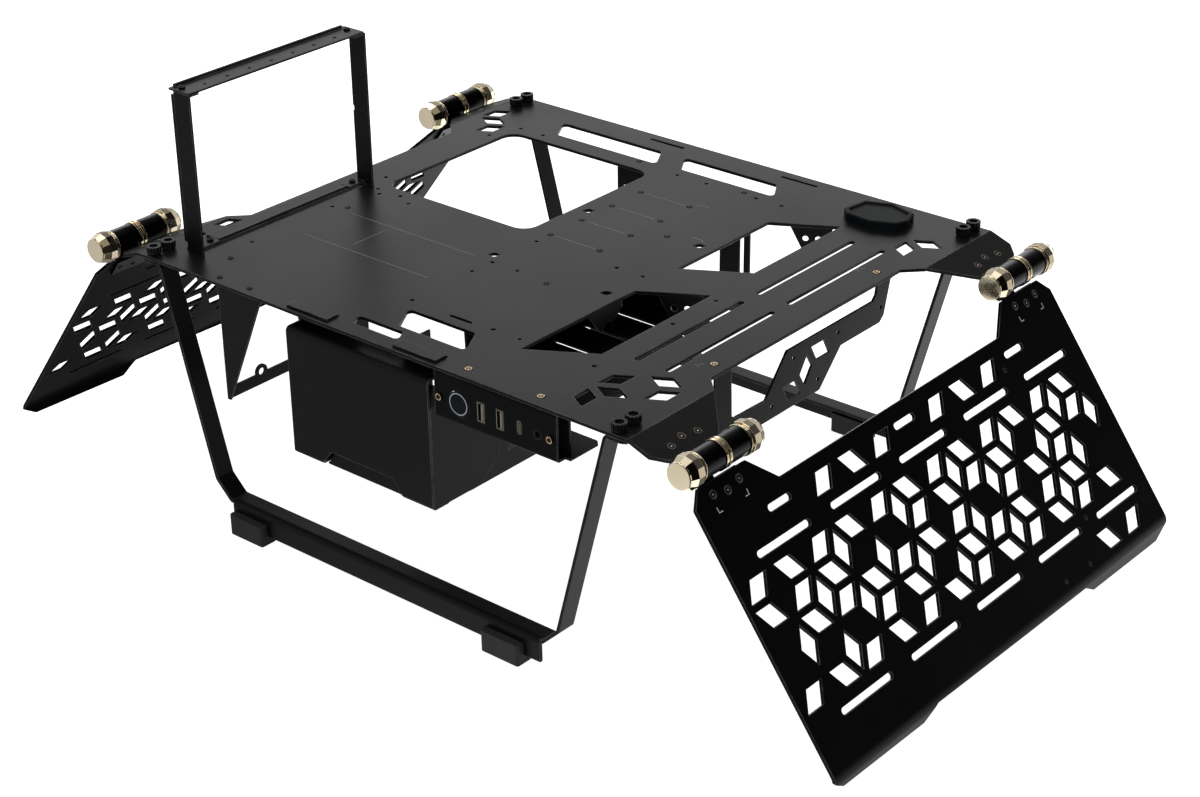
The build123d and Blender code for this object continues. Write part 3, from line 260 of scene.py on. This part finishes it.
def plain_black(name, colour, rough, grain=1800.0, depth=0.00002, radius=0.0004, gloss=0.2, worn_and_highlight=0.09):
    """Black plastic, rubber, laminate or blackened steel, a little paler on its edges, partly from wear and
    partly as a painted highlight.
    """
    material, tree, shader = new_material(name)
    coat = place_group(tree, coat_grain, Grain=grain, Cloud=20.0)
    wear_and_highlight = place_group(tree, edge_wear_and_highlight, Radius=radius)
    light = tuple(c * 1.5 + 0.004 for c in colour)
    tone = mix_colour(tree, spread(tree, coat.outputs["Tone"], 0.3, 0.7, 0.0, 1.0), colour, light)
    # Paler edges: wear and a painted highlight.
    rubbed_and_lit = math_node(tree, "MULTIPLY", wear_and_highlight.outputs["Mask"], 0.5)
    tree.links.new(mix_colour(tree, rubbed_and_lit, tone, (worn_and_highlight, worn_and_highlight, worn_and_highlight)), shader.inputs["Base Color"])
    roughness = spread(tree, coat.outputs["Fine"], 0.3, 0.7, rough - 0.05, rough + 0.06)
    tree.links.new(roughness, shader.inputs["Roughness"])
    shader.inputs["Specular IOR Level"].default_value = gloss
    bump(tree, shader, coat.outputs["Height"], depth, 0.4, wear_and_highlight.outputs["Normal"])
    return material


def turned_metal(name, colour, bright, rough, wear_and_highlight_colour=None, shaded=False):
    """Anodised or plated turned metal with lathe lines about the hinge axis, with paler edges from wear and a
    painted highlight.
    """
    material, tree, shader = new_material(name)
    rings = place_group(tree, turned_rings)
    wear_and_highlight = place_group(tree, edge_wear_and_highlight, Radius=0.0003, Patch=30.0)
    tone = mix_colour(tree, rings.outputs["Smear"], colour, bright)
    # Painted reflections: light and dark patches in the base colour of polished facets.
    if shaded:
        glints = place_group(tree, facet_glints)
        dark = tuple(c * k for c, k in zip(colour, (0.10, 0.09, 0.05)))
        tone = mix_colour(tree, glints.outputs["Mask"], dark, tone)
    # Paler edges: rubbed wear and a painted highlight.
    rubbed_and_lit = math_node(tree, "MULTIPLY", wear_and_highlight.outputs["Mask"], 0.85)
    tree.links.new(mix_colour(tree, rubbed_and_lit, tone, wear_and_highlight_colour or bright), shader.inputs["Base Color"])
    roughness = spread(tree, rings.outputs["Smear"], 0.3, 0.7, rough - 0.03, rough + 0.05)
    tree.links.new(roughness, shader.inputs["Roughness"])
    shader.inputs["Metallic"].default_value = 1.0
    bump(tree, shader, rings.outputs["Height"], 0.000004, 0.1 if shaded else 0.25, wear_and_highlight.outputs["Normal"])
    return material


def screw_metal(name, colour, rough):
    """Plain metal of small parts, with a fine uneven grain and paler edges from wear and a painted highlight.
    """
    material, tree, shader = new_material(name)
    coat = place_group(tree, coat_grain, Grain=3200.0, Cloud=300.0)
    wear_and_highlight = place_group(tree, edge_wear_and_highlight, Radius=0.00015, Patch=400.0)
    bright = tuple(min(1.0, c * 1.35 + 0.02) for c in colour)
    tone = mix_colour(tree, coat.outputs["Tone"], colour, bright)
    # Paler edges: wear and a painted highlight.
    tree.links.new(mix_colour(tree, wear_and_highlight.outputs["Mask"], tone, bright), shader.inputs["Base Color"])
    roughness = spread(tree, coat.outputs["Tone"], 0.3, 0.7, rough - 0.06, rough + 0.06)
    tree.links.new(roughness, shader.inputs["Roughness"])
    shader.inputs["Metallic"].default_value = 1.0
    bump(tree, shader, coat.outputs["Height"], 0.00001, 0.3, wear_and_highlight.outputs["Normal"])
    return material


finishes = {
    "deck_powder_coat": powder_coat(
        "deck_powder_coat", (0.0036, 0.0042, 0.0042), (0.0056, 0.0062, 0.0060), 0.36,
    ),
    # The wings' coat colour is darker than the deck's: painted shade on the sloping wings.
    "wing_powder_coat": powder_coat(
        "wing_powder_coat", (0.0010, 0.0016, 0.0014), (0.0018, 0.0024, 0.0022), 0.34,
        worn_and_highlight=(0.24, 0.24, 0.25), gloss=0.045,
    ),
    "hinge_black": turned_metal(
        "hinge_black", (0.0035, 0.0035, 0.0040), (0.0060, 0.0060, 0.0066), 0.24, (0.05, 0.045, 0.035),
    ),
    # The gold caps and pins take painted reflection patches; the caps' pale edge colour is a painted
    # highlight on the facet edges.
    "hinge_cap_gold": turned_metal(
        "hinge_cap_gold", (0.80, 0.68, 0.46), (0.92, 0.82, 0.63), 0.06, (1.0, 0.93, 0.78), shaded=True,
    ),
    "hinge_pin_gold": turned_metal(
        "hinge_pin_gold", (0.78, 0.63, 0.40), (0.90, 0.77, 0.55), 0.08, shaded=True,
    ),
    "brass_screw": screw_metal("brass_screw", (0.10, 0.07, 0.04), 0.36),
    "black_screw": plain_black(
        "black_screw", (0.002, 0.002, 0.002), 0.40,
        grain=3200.0, depth=0.00001, radius=0.0003, gloss=0.03, worn_and_highlight=0.22,
    ),
    # The thumb screws' pale edges are chiefly a painted highlight, standing in for glints.
    "thumb_screw_black": plain_black("thumb_screw_black", (0.002, 0.002, 0.003), 0.22, gloss=0.06, worn_and_highlight=0.35),
    "socket_steel": screw_metal("socket_steel", (0.24, 0.215, 0.17), 0.34),
    "black_plastic": plain_black(
        "black_plastic", (0.005, 0.006, 0.007), 0.50, grain=1500.0, depth=0.00003, gloss=0.05,
    ),
    "board_laminate": plain_black("board_laminate", (0.010, 0.014, 0.012), 0.40),
    "foot_rubber": plain_black(
        "foot_rubber", (0.022, 0.022, 0.023), 0.62, grain=1200.0, depth=0.00005, radius=0.0008,
    ),
}


def light_ring_material():
    material, tree, shader = new_material("ring_plastic")
    coat = place_group(tree, coat_grain, Grain=1500.0, Cloud=200.0)
    tone = mix_colour(tree, coat.outputs["Tone"], (0.42, 0.45, 0.50), (0.62, 0.65, 0.70))
    tree.links.new(tone, shader.inputs["Base Color"])
    tree.links.new(spread(tree, coat.outputs["Tone"], 0.3, 0.7, 0.22, 0.3), shader.inputs["Roughness"])
    return material


def printed_line_material(name, dark, light):
    material, tree, shader = new_material(name)
    coat = place_group(tree, coat_grain, Grain=2600.0, Cloud=120.0)
    tree.links.new(mix_colour(tree, coat.outputs["Fine"], dark, light), shader.inputs["Base Color"])
    tree.links.new(spread(tree, coat.outputs["Tone"], 0.3, 0.7, 0.48, 0.6), shader.inputs["Roughness"])
    return material


finishes["ring_plastic"] = light_ring_material()
printed_line = printed_line_material("printed_line", (0.11, 0.11, 0.115), (0.22, 0.22, 0.23))
printed_tick = printed_line_material("printed_tick", (0.42, 0.43, 0.44), (0.60, 0.61, 0.62))
# Darker brass for the hinge screws: painted shade, the same brass in poorer light.
shaded_brass = screw_metal("shaded_brass", (0.14, 0.10, 0.06), 0.34)
bright_brass = screw_metal("bright_brass", (0.50, 0.35, 0.18), 0.26)
# Painted shade: black for the socket in each screw head and the gap round it.
painted_recess_shade = plain_black("painted_recess_shade", (0.002, 0.002, 0.002), 0.5)
stud_black = screw_metal("stud_black", (0.006, 0.006, 0.006), 0.34)
glint_steel = screw_metal("glint_steel", (0.70, 0.68, 0.64), 0.2)

for part in frame["record"]["subparts"]:
    mesh = nodes[part["node"]].data
    mesh.materials.clear()
    mesh.materials.append(finishes[part["material_slot"]])

# The front panel has a darker, duller coat than the deck
panel_coat = powder_coat("panel_coat", (0.0022, 0.0026, 0.0030), (0.0034, 0.0040, 0.0044), 0.34, gloss=0.05)
nodes["io_housing"].data.materials[0] = panel_coat


# Geometry Nodes groups for the pieces that repeat
def shape_group(name, inputs):
    """An empty geometry group with named sockets, and its input and output nodes."""
    group = bpy.data.node_groups.new(name, "GeometryNodeTree")
    group.interface.new_socket(name="Geometry", in_out="INPUT", socket_type="NodeSocketGeometry")
    for socket_name, kind, value in inputs:
        socket = group.interface.new_socket(name=socket_name, in_out="INPUT", socket_type=kind)
        if value is not None:
            socket.default_value = value
    group.interface.new_socket(name="Geometry", in_out="OUTPUT", socket_type="NodeSocketGeometry")
    return group, group.nodes.new("NodeGroupInput"), group.nodes.new("NodeGroupOutput")


def close_group(group, source, sink, geometry):
    """Realizes the instances and gives them the group's material."""
    realize = group.nodes.new("GeometryNodeRealizeInstances")
    paint = group.nodes.new("GeometryNodeSetMaterial")
    group.links.new(geometry, realize.inputs[0])
    group.links.new(realize.outputs[0], paint.inputs["Geometry"])
    group.links.new(source.outputs["Material"], paint.inputs["Material"])
    group.links.new(paint.outputs["Geometry"], sink.inputs["Geometry"])


def make_place_heads():
    """Stands one small turned shape on every point, turned to the way the sheet faces there."""
    group, source, sink = shape_group(
        "place_heads",
        [
            ("Head", "NodeSocketObject", None),
            ("Scale", "NodeSocketFloat", 1.0),
            ("Material", "NodeSocketMaterial", None),
        ],
    )
    head = group.nodes.new("GeometryNodeObjectInfo")
    facing = group.nodes.new("GeometryNodeInputNamedAttribute")
    facing.data_type = "FLOAT_VECTOR"
    facing.inputs["Name"].default_value = "facing"
    align = group.nodes.new("FunctionNodeAlignRotationToVector")
    align.axis = "Z"
    place = group.nodes.new("GeometryNodeInstanceOnPoints")
    group.links.new(source.outputs["Head"], head.inputs["Object"])
    group.links.new(facing.outputs["Attribute"], align.inputs["Vector"])
    group.links.new(source.outputs["Geometry"], place.inputs["Points"])
    group.links.new(head.outputs["Geometry"], place.inputs["Instance"])
    group.links.new(align.outputs["Rotation"], place.inputs["Rotation"])
    group.links.new(source.outputs["Scale"], place.inputs["Scale"])
    close_group(group, source, sink, place.outputs["Instances"])
    return group


def make_line_marks():
    """Thin printed bands along the edges of a flat drawing."""
    group, source, sink = shape_group(
        "line_marks",
        [
            ("Width", "NodeSocketFloat", 0.0006),
            ("Thickness", "NodeSocketFloat", 0.00004),
            ("Material", "NodeSocketMaterial", None),
        ],
    )
    curve = group.nodes.new("GeometryNodeMeshToCurve")
    upright = group.nodes.new("GeometryNodeSetCurveNormal")
    upright.mode = "Z_UP"
    band = group.nodes.new("GeometryNodeCurvePrimitiveQuadrilateral")
    sweep = group.nodes.new("GeometryNodeCurveToMesh")
    sweep.inputs["Fill Caps"].default_value = True
    group.links.new(source.outputs["Geometry"], curve.inputs["Mesh"])
    group.links.new(curve.outputs[0], upright.inputs["Curve"])
    group.links.new(source.outputs["Width"], band.inputs["Width"])
    group.links.new(source.outputs["Thickness"], band.inputs["Height"])
    group.links.new(upright.outputs["Curve"], sweep.inputs["Curve"])
    group.links.new(band.outputs[0], sweep.inputs["Profile Curve"])
    close_group(group, source, sink, sweep.outputs["Mesh"])
    return group


place_heads = make_place_heads()
line_marks = make_line_marks()


def finish_piece(name, source, group, values, body, turn=None):
    """Runs a geometry group over a drawing, keeps the result as a plain mesh and hangs it on a body."""
    holder = bpy.data.objects.new(name + "_drawing", source)
    scene.collection.objects.link(holder)
    modifier = holder.modifiers.new("build", "NODES")
    modifier.node_group = group
    keys = {item.name: item.identifier for item in group.interface.items_tree if item.in_out == "INPUT"}
    for key, value in values.items():
        modifier[keys[key]] = value
    bpy.context.view_layer.update()
    mesh = bpy.data.meshes.new_from_object(holder.evaluated_get(bpy.context.evaluated_depsgraph_get()))
    bpy.data.objects.remove(holder)
    if turn is not None:
        mesh.transform(turn)
    shell = bmesh.new()
    shell.from_mesh(mesh)
    bmesh.ops.recalc_face_normals(shell, faces=shell.faces)
    shell.to_mesh(mesh)
    shell.free()
    mesh.name = name
    piece = bpy.data.objects.new(name, mesh)
    scene.collection.objects.link(piece)
    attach(piece, body)
    return piece


def turned_shape(name, *sections, steps=28):
    """A small turned shape from half sections of (radius, height) in millimetres.

    A section may come as (sides, smooth, section) to have its own number of sides.
    """
    shell = bmesh.new()
    for section in sections:
        sides, soft = steps, True
        if isinstance(section, tuple):
            sides, soft, section = section
        rings = []
        for radius, height in section:
            ring = []
            for k in range(sides):
                a = 2 * math.pi * k / sides
                place = (radius * math.cos(a) / 1000, radius * math.sin(a) / 1000, height / 1000)
                ring.append(shell.verts.new(place))
            rings.append(ring)
        for lower, upper in zip(rings, rings[1:]):
            for k in range(sides):
                face = shell.faces.new((lower[k], lower[(k + 1) % sides], upper[(k + 1) % sides], upper[k]))
                face.smooth = soft
        shell.faces.new(rings[0])
        shell.faces.new(rings[-1])
    bmesh.ops.recalc_face_normals(shell, faces=shell.faces)
    mesh = bpy.data.meshes.new(name)
    shell.to_mesh(mesh)
    shell.free()
    return bpy.data.objects.new(name, mesh)


def facing_points(name, places):
    """Loose points that remember which way the sheet faces; places hold (point, facing)."""
    mesh = bpy.data.meshes.new(name)
    mesh.from_pydata([point for point, _ in places], [], [])
    mesh.attributes.new("facing", "FLOAT_VECTOR", "POINT")
    for item, (_, way) in zip(mesh.attributes["facing"].data, places):
        item.vector = way
    return mesh


def drawing(name, lines):
    """A flat drawing of straight lines, each a list of points in millimetres."""
    points, edges = [], []
    for line in lines:
        start = len(points)
        points += [(x / 1000, y / 1000, 0.0) for x, y in line]
        edges += [(start + k, start + k + 1) for k in range(len(line) - 1)]
    mesh = bpy.data.meshes.new(name)
    mesh.from_pydata(points, edges, [])
    return mesh


# Where the screws sit, with the way their heads face
def tab_frame(side):
    """Top face of a hinge tab on one side: x runs down the slope."""
    x = Vector((side * math.cos(tab_slope), 0, -math.sin(tab_slope)))
    z = Vector((side * math.sin(tab_slope), 0, math.cos(tab_slope)))
    return Matrix.Translation((side * fold_x, 0, deck_z)) @ Matrix((x, z.cross(x), z)).transposed().to_4x4()


def wing_frame(side):
    """Outer face of a wing at rest: x runs down the slope from below the hinge axis."""
    drop = drop_right if side > 0 else drop_left
    x = Vector((side * math.cos(drop), 0, -math.sin(drop)))
    z = Vector((side * math.sin(drop), 0, math.cos(drop)))
    origin = Vector((side * hinge_x, 0, hinge_z)) - z * wing_rise
    return Matrix.Translation(origin) @ Matrix((x, z.cross(x), z)).transposed().to_4x4()


def on_frame(grid, x, y):
    """A point given in millimetres on a sheet, as (place, facing); y always runs to the far side."""
    flip = 1 if grid[1][1] > 0 else -1
    return (grid @ Vector((x / 1000, flip * y / 1000, 0)), grid.to_3x3() @ Vector((0, 0, 1)))


tab_screws = [(18.5, -screw_pitch_mm), (16.0, 0.0), (18.5, screw_pitch_mm)]
leaf_screws = [(19.7, -screw_pitch_mm), (22.2, 0.0), (19.7, screw_pitch_mm)]
deck_places = [(82.2, -189.0), (142.3, -189.0), (197.5, -88.0), (197.5, 91.0)]
stud_places = [(x, y) for x in (-16.2, 28.6) for y in (102.0, 68.8, 35.7, 2.0)]
stud_places += [(49.5, 50.4), (43.1, 147.6), (-55.7, 148.5), (-162.8, -52.0), (36.0, -62.2)]
up = Vector((0, 0, 1))


def deck_points(places):
    return [(Vector((x / 1000, y / 1000, deck_z)), up) for x, y in places]


head_ring = turned_shape(
    "head_ring",
    [(1.55, -0.25), (2.5, -0.25), (2.5, -0.06), (2.25, 0.10), (1.85, 0.10), (1.55, -0.04), (1.55, -0.25)],
)
thin_ring = turned_shape(
    "thin_ring", [(2.15, -0.2), (2.62, -0.2), (2.62, -0.02), (2.45, 0.05), (2.2, 0.02), (2.15, -0.2)],
)
glint_dot = turned_shape("glint_dot", [(0.5, -0.2), (0.5, 0.1), (0.3, 0.22), (0.1, 0.24)], steps=10)
# Dark rim round each screw head and dark plug in its socket, both painted shade.
head_rim = turned_shape("head_rim", [(2.62, -0.12), (3.25, 0.02), (3.3, 0.06), (2.66, -0.02)])
head_plug = turned_shape(
    "head_plug", [(1.54, -0.24), (1.54, -0.10), (1.2, -0.06), (0.5, -0.16), (0.4, -0.10)], steps=12,
)
stud_ring = turned_shape(
    "stud_ring", [(1.5, -0.4), (2.25, -0.4), (2.3, 0.05), (2.1, 0.14), (1.5, 0.02), (1.45, -0.4)],
)
stud_core = turned_shape("stud_core", [(1.25, -1.4), (1.25, -0.15), (0.9, 0.12), (0.35, 0.2)])

benches = deck_points(deck_places)
tabs = [
    on_frame(tab_frame(side), s, sy * hinge_centre_mm + dy)
    for side in (-1, 1) for sy in (-1, 1) for s, dy in tab_screws
]
panel_face_y = panel_y - 0.0012
panel_places = [(Vector((x / 1000, panel_face_y, panel_z)), Vector((0, -1, 0))) for x in (66.0, 158.3)]
for name, points, shape, material, body, slot in (
    ("bench_screw_rings", benches + panel_places, head_ring, bright_brass, "bench", "brass_screw"),
    ("tab_screw_rings", tabs, thin_ring, shaded_brass, "bench", "brass_screw"),
    ("bench_screw_glints", benches + tabs, glint_dot, glint_steel, "bench", "brass_screw"),
    ("bench_screw_rims", benches + tabs, head_rim, painted_recess_shade, "bench", "black_screw"),
    ("bench_screw_plugs", benches + tabs + panel_places, head_plug, painted_recess_shade, "bench", "black_screw"),
    ("deck_stud_rings", deck_points(stud_places), stud_ring, finishes["black_screw"], "bench", "black_screw"),
    ("deck_stud_cores", deck_points(stud_places), stud_core, stud_black, "bench", "black_screw"),
):
    values = {"Head": shape, "Material": material}
    finish_piece(name, facing_points(name, points), place_heads, values, body)
for side, body, word in ((1, "right_wing_body", "right"), (-1, "left_wing_body", "left")):
    grid = wing_frame(side)
    points = [on_frame(grid, s, sy * hinge_centre_mm + dy) for sy in (-1, 1) for s, dy in leaf_screws]
    for kind, shape, material, slot in (
        ("rings", thin_ring, shaded_brass, "brass_screw"),
        ("glints", glint_dot, glint_steel, "brass_screw"),
        ("rims", head_rim, painted_recess_shade, "black_screw"),
        ("plugs", head_plug, painted_recess_shade, "black_screw"),
    ):
        name = "wing_screw_" + kind + "_" + word
        values = {"Head": shape, "Material": material}
        finish_piece(name, facing_points(name, points), place_heads, values, body)

# Polished hinge caps: bead, neck, faceted barrel with a taper, and a round end face
hinge_cap = turned_shape(
    "hinge_cap",
    (64, True, [(9.3, 22.6), (9.3, 24.4)]),
    (64, True, [(9.4, 21.2), (10.1, 21.2), (10.4, 21.5), (10.4, 22.5), (10.1, 22.8), (9.4, 22.8)]),
    (12, False, [(9.6, 24.2), (11.1, 24.2), (11.2, 24.5), (11.2, 30.0), (9.0, 35.4), (8.0, 35.4)]),
    (64, True, [(8.9, 34.9), (8.9, 35.7), (8.55, 36.15)]),
    (64, False, [(8.5, 35.0), (8.5, 36.2)]),
)
for name, body, side_ends, parts in (
    (
        "hinge_caps_bench", "bench", ((1, 1), (-1, -1)),
        ("deck_cap_right_far", "deck_cap_right_near", "deck_cap_left_far", "deck_cap_left_near"),
    ),
    ("hinge_caps_right", "right_wing_body", ((1, -1),), ("wing_cap_right_far", "wing_cap_right_near")),
    ("hinge_caps_left", "left_wing_body", ((-1, 1),), ("wing_cap_left_far", "wing_cap_left_near")),
):
    points = [
        (Vector((side * hinge_x, y, hinge_z)), Vector((0, end, 0)))
        for side, end in side_ends for y in hinge_ys
    ]
    piece = finish_piece(
        name, facing_points(name, points), place_heads,
        {"Head": hinge_cap, "Material": finishes["hinge_cap_gold"]}, body,
    )
    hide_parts(*parts)

# Printed lines: frame of the text field, links between the fan holes, arrows at the pump screws, corner ticks
deck_lines = [
    [(-152.1, -57.9), (-33.3, -57.9)],
    [(-151.1, -105.0), (-33.2, -105.0)],
    [(-112.4, -96.7), (-112.4, -64.6)],
    [(31.5, 106.0), (33.0, 110.2), (40.7, 109.8)],
    [(64.1, 60.0), (73.4, 59.8), (74.8, 57.6)],
    [(193.0, -92.6), (188.6, -96.9), (193.6, -97.4)],
    [(188.2, 91.0), (183.6, 87.4), (187.9, 84.2)],
]
deck_lines += [[(-11.0, y), (24.0, y)] for y in (101.8, 68.8, 35.5, 2.2)]
lift_deck = Matrix.Translation((0, 0, deck_z + print_lift))
finish_piece(
    "deck_printed_lines", drawing("deck_printed_lines", deck_lines), line_marks,
    {"Width": 0.0006, "Material": printed_line}, "bench", lift_deck,
)
for side, body, word in ((1, "right_wing_body", "right"), (-1, "left_wing_body", "left")):
    ticks = []
    for sy in (-1, 1):
        for edge, inward in ((153.8, 1), (182.8, -1)):
            ticks.append([(27.6, sy * edge), (31.2, sy * edge), (31.2, sy * (edge + 3.4 * inward))])
    name = "wing_printed_ticks_" + word
    finish_piece(
        name, drawing(name, ticks), line_marks, {"Width": 0.0008, "Material": printed_tick},
        body, wing_frame(side) @ Matrix.Translation((0, 0, print_lift)),
    )


# Studio floor, white to the eye. Shiny surfaces see it glow on the right and far side, and
# dark on the near right.
floor_glow = 1.15


def make_floor():
    mesh = bpy.data.meshes.new("studio_floor")
    size = 30.0
    corners = [(-size, -size, 0), (size, -size, 0), (size, size, 0), (-size, size, 0)]
    mesh.from_pydata(corners, [], [(0, 1, 2, 3)])
    floor = bpy.data.objects.new("studio_floor", mesh)
    scene.collection.objects.link(floor)
    material, tree, shader = new_material("studio_floor")
    place = tree.nodes.new("ShaderNodeTexCoord").outputs["Object"]
    tone = spread(tree, noise(tree, place, 3.0, 3.0), 0.3, 0.7, 0.0, 1.0)
    path = tree.nodes.new("ShaderNodeLightPath")
    mirror = path.outputs["Is Glossy Ray"]
    lift = math_node(tree, "MULTIPLY", path.outputs["Is Camera Ray"], 0.92)
    parts = tree.nodes.new("ShaderNodeSeparateXYZ")
    tree.links.new(place, parts.inputs[0])
    across = math_node(tree, "MULTIPLY", parts.outputs["X"], 0.8)
    far_right = math_node(tree, "ADD", across, math_node(tree, "MULTIPLY", parts.outputs["Y"], 0.6))
    away = math_node(tree, "SUBTRACT", parts.outputs["X"], parts.outputs["Y"])
    open_side = spread(tree, away, 0.55, 0.8, 1.0, 0.0)
    lit = math_node(tree, "MULTIPLY", open_side, spread(tree, far_right, -0.3, 0.1, 0.0, 1.0))
    glow = math_node(tree, "MULTIPLY", mirror, lit)
    lift = math_node(tree, "ADD", lift, math_node(tree, "MULTIPLY", glow, floor_glow))
    shade = math_node(tree, "MULTIPLY", mirror, math_node(tree, "SUBTRACT", 1.0, open_side))
    pale = mix_colour(tree, tone, (0.80, 0.80, 0.80), (0.82, 0.82, 0.82))
    tree.links.new(mix_colour(tree, shade, pale, (0.03, 0.03, 0.03)), shader.inputs["Base Color"])
    shader.inputs["Roughness"].default_value = 0.9
    shader.inputs["Specular IOR Level"].default_value = 0.0
    shader.inputs["Emission Color"].default_value = (1.0, 1.0, 1.0, 1.0)
    tree.links.new(lift, shader.inputs["Emission Strength"])
    mesh.materials.append(material)


make_floor()


# Soft studio light
def softbox(name, place, target, width, depth, power):
    lamp = bpy.data.lights.new(name, "AREA")
    lamp.shape = "RECTANGLE"
    lamp.size = width
    lamp.size_y = depth
    lamp.energy = power
    box = bpy.data.objects.new(name, lamp)
    box.location = place
    box.rotation_euler = (Vector(target) - Vector(place)).to_track_quat("-Z", "Y").to_euler()
    scene.collection.objects.link(box)


softbox("top_softbox", (0.0, 0.0, 2.4), (0.0, 0.0, 0.0), 2.4, 2.4, 30.0)
softbox("far_softbox", (-1.55, 1.85, 1.15), (0.0, 0.0, 0.18), 2.4, 1.0, 9.0)
softbox("near_softbox", (1.2, -2.0, 1.2), (0.1, -0.1, 0.1), 1.2, 1.2, 3.0)

world = bpy.data.worlds.new("studio")
scene.world = world
world.use_nodes = True
tree = world.node_tree
background = tree.nodes["Background"]
path = tree.nodes.new("ShaderNodeLightPath")
seen = math_node(tree, "MAXIMUM", path.outputs["Is Camera Ray"], path.outputs["Is Transmission Ray"])
sky = tree.nodes.new("ShaderNodeSeparateXYZ")
tree.links.new(tree.nodes.new("ShaderNodeTexCoord").outputs["Generated"], sky.inputs[0])
backdrop = spread(tree, sky.outputs["Z"], 0.40, 0.72, 0.85, 0.14)
backdrop = math_node(tree, "MULTIPLY", backdrop, spread(tree, sky.outputs["X"], -0.3, 0.4, 1.0, 0.1))
mirror = path.outputs["Is Glossy Ray"]
unlit = math_node(tree, "MULTIPLY", math_node(tree, "SUBTRACT", 1.0, mirror), 0.30)
level = math_node(tree, "ADD", unlit, math_node(tree, "MULTIPLY", mirror, backdrop))
tree.links.new(math_node(tree, "MAXIMUM", seen, level), background.inputs["Strength"])
background.inputs["Color"].default_value = (1.0, 1.0, 1.0, 1.0)

# Camera at the photograph's viewing angle, from measures in the photograph's own pixels
photo_width, photo_height = 1200.0, 797.0
photo_centre = (598.93, 398.07)
lens_px = 2435.98
camera_data = bpy.data.cameras.new("photo_camera")
camera_data.sensor_width = 36.0
camera_data.lens = lens_px * camera_data.sensor_width / photo_width
camera_data.shift_x = (photo_width / 2 - photo_centre[0]) / photo_width
camera_data.shift_y = (photo_centre[1] - photo_height / 2) / photo_width
camera_data.clip_start = 0.05
camera_data.clip_end = 100.0
camera = bpy.data.objects.new("photo_camera", camera_data)
camera_right = Vector((0.765396, 0.643461, -0.011277))
camera_down = Vector((0.285172, -0.354817, -0.890383))
camera_ahead = Vector((-0.576928, 0.678279, -0.455073))
turn = Matrix((camera_right, -camera_down, -camera_ahead)).transposed()
camera_place = Vector((1.02559, -1.17297, 0.86849))
camera.matrix_world = Matrix.Translation(camera_place) @ turn.to_4x4()
scene.collection.objects.link(camera)
scene.camera = camera
scene.view_settings.view_transform = "Standard"
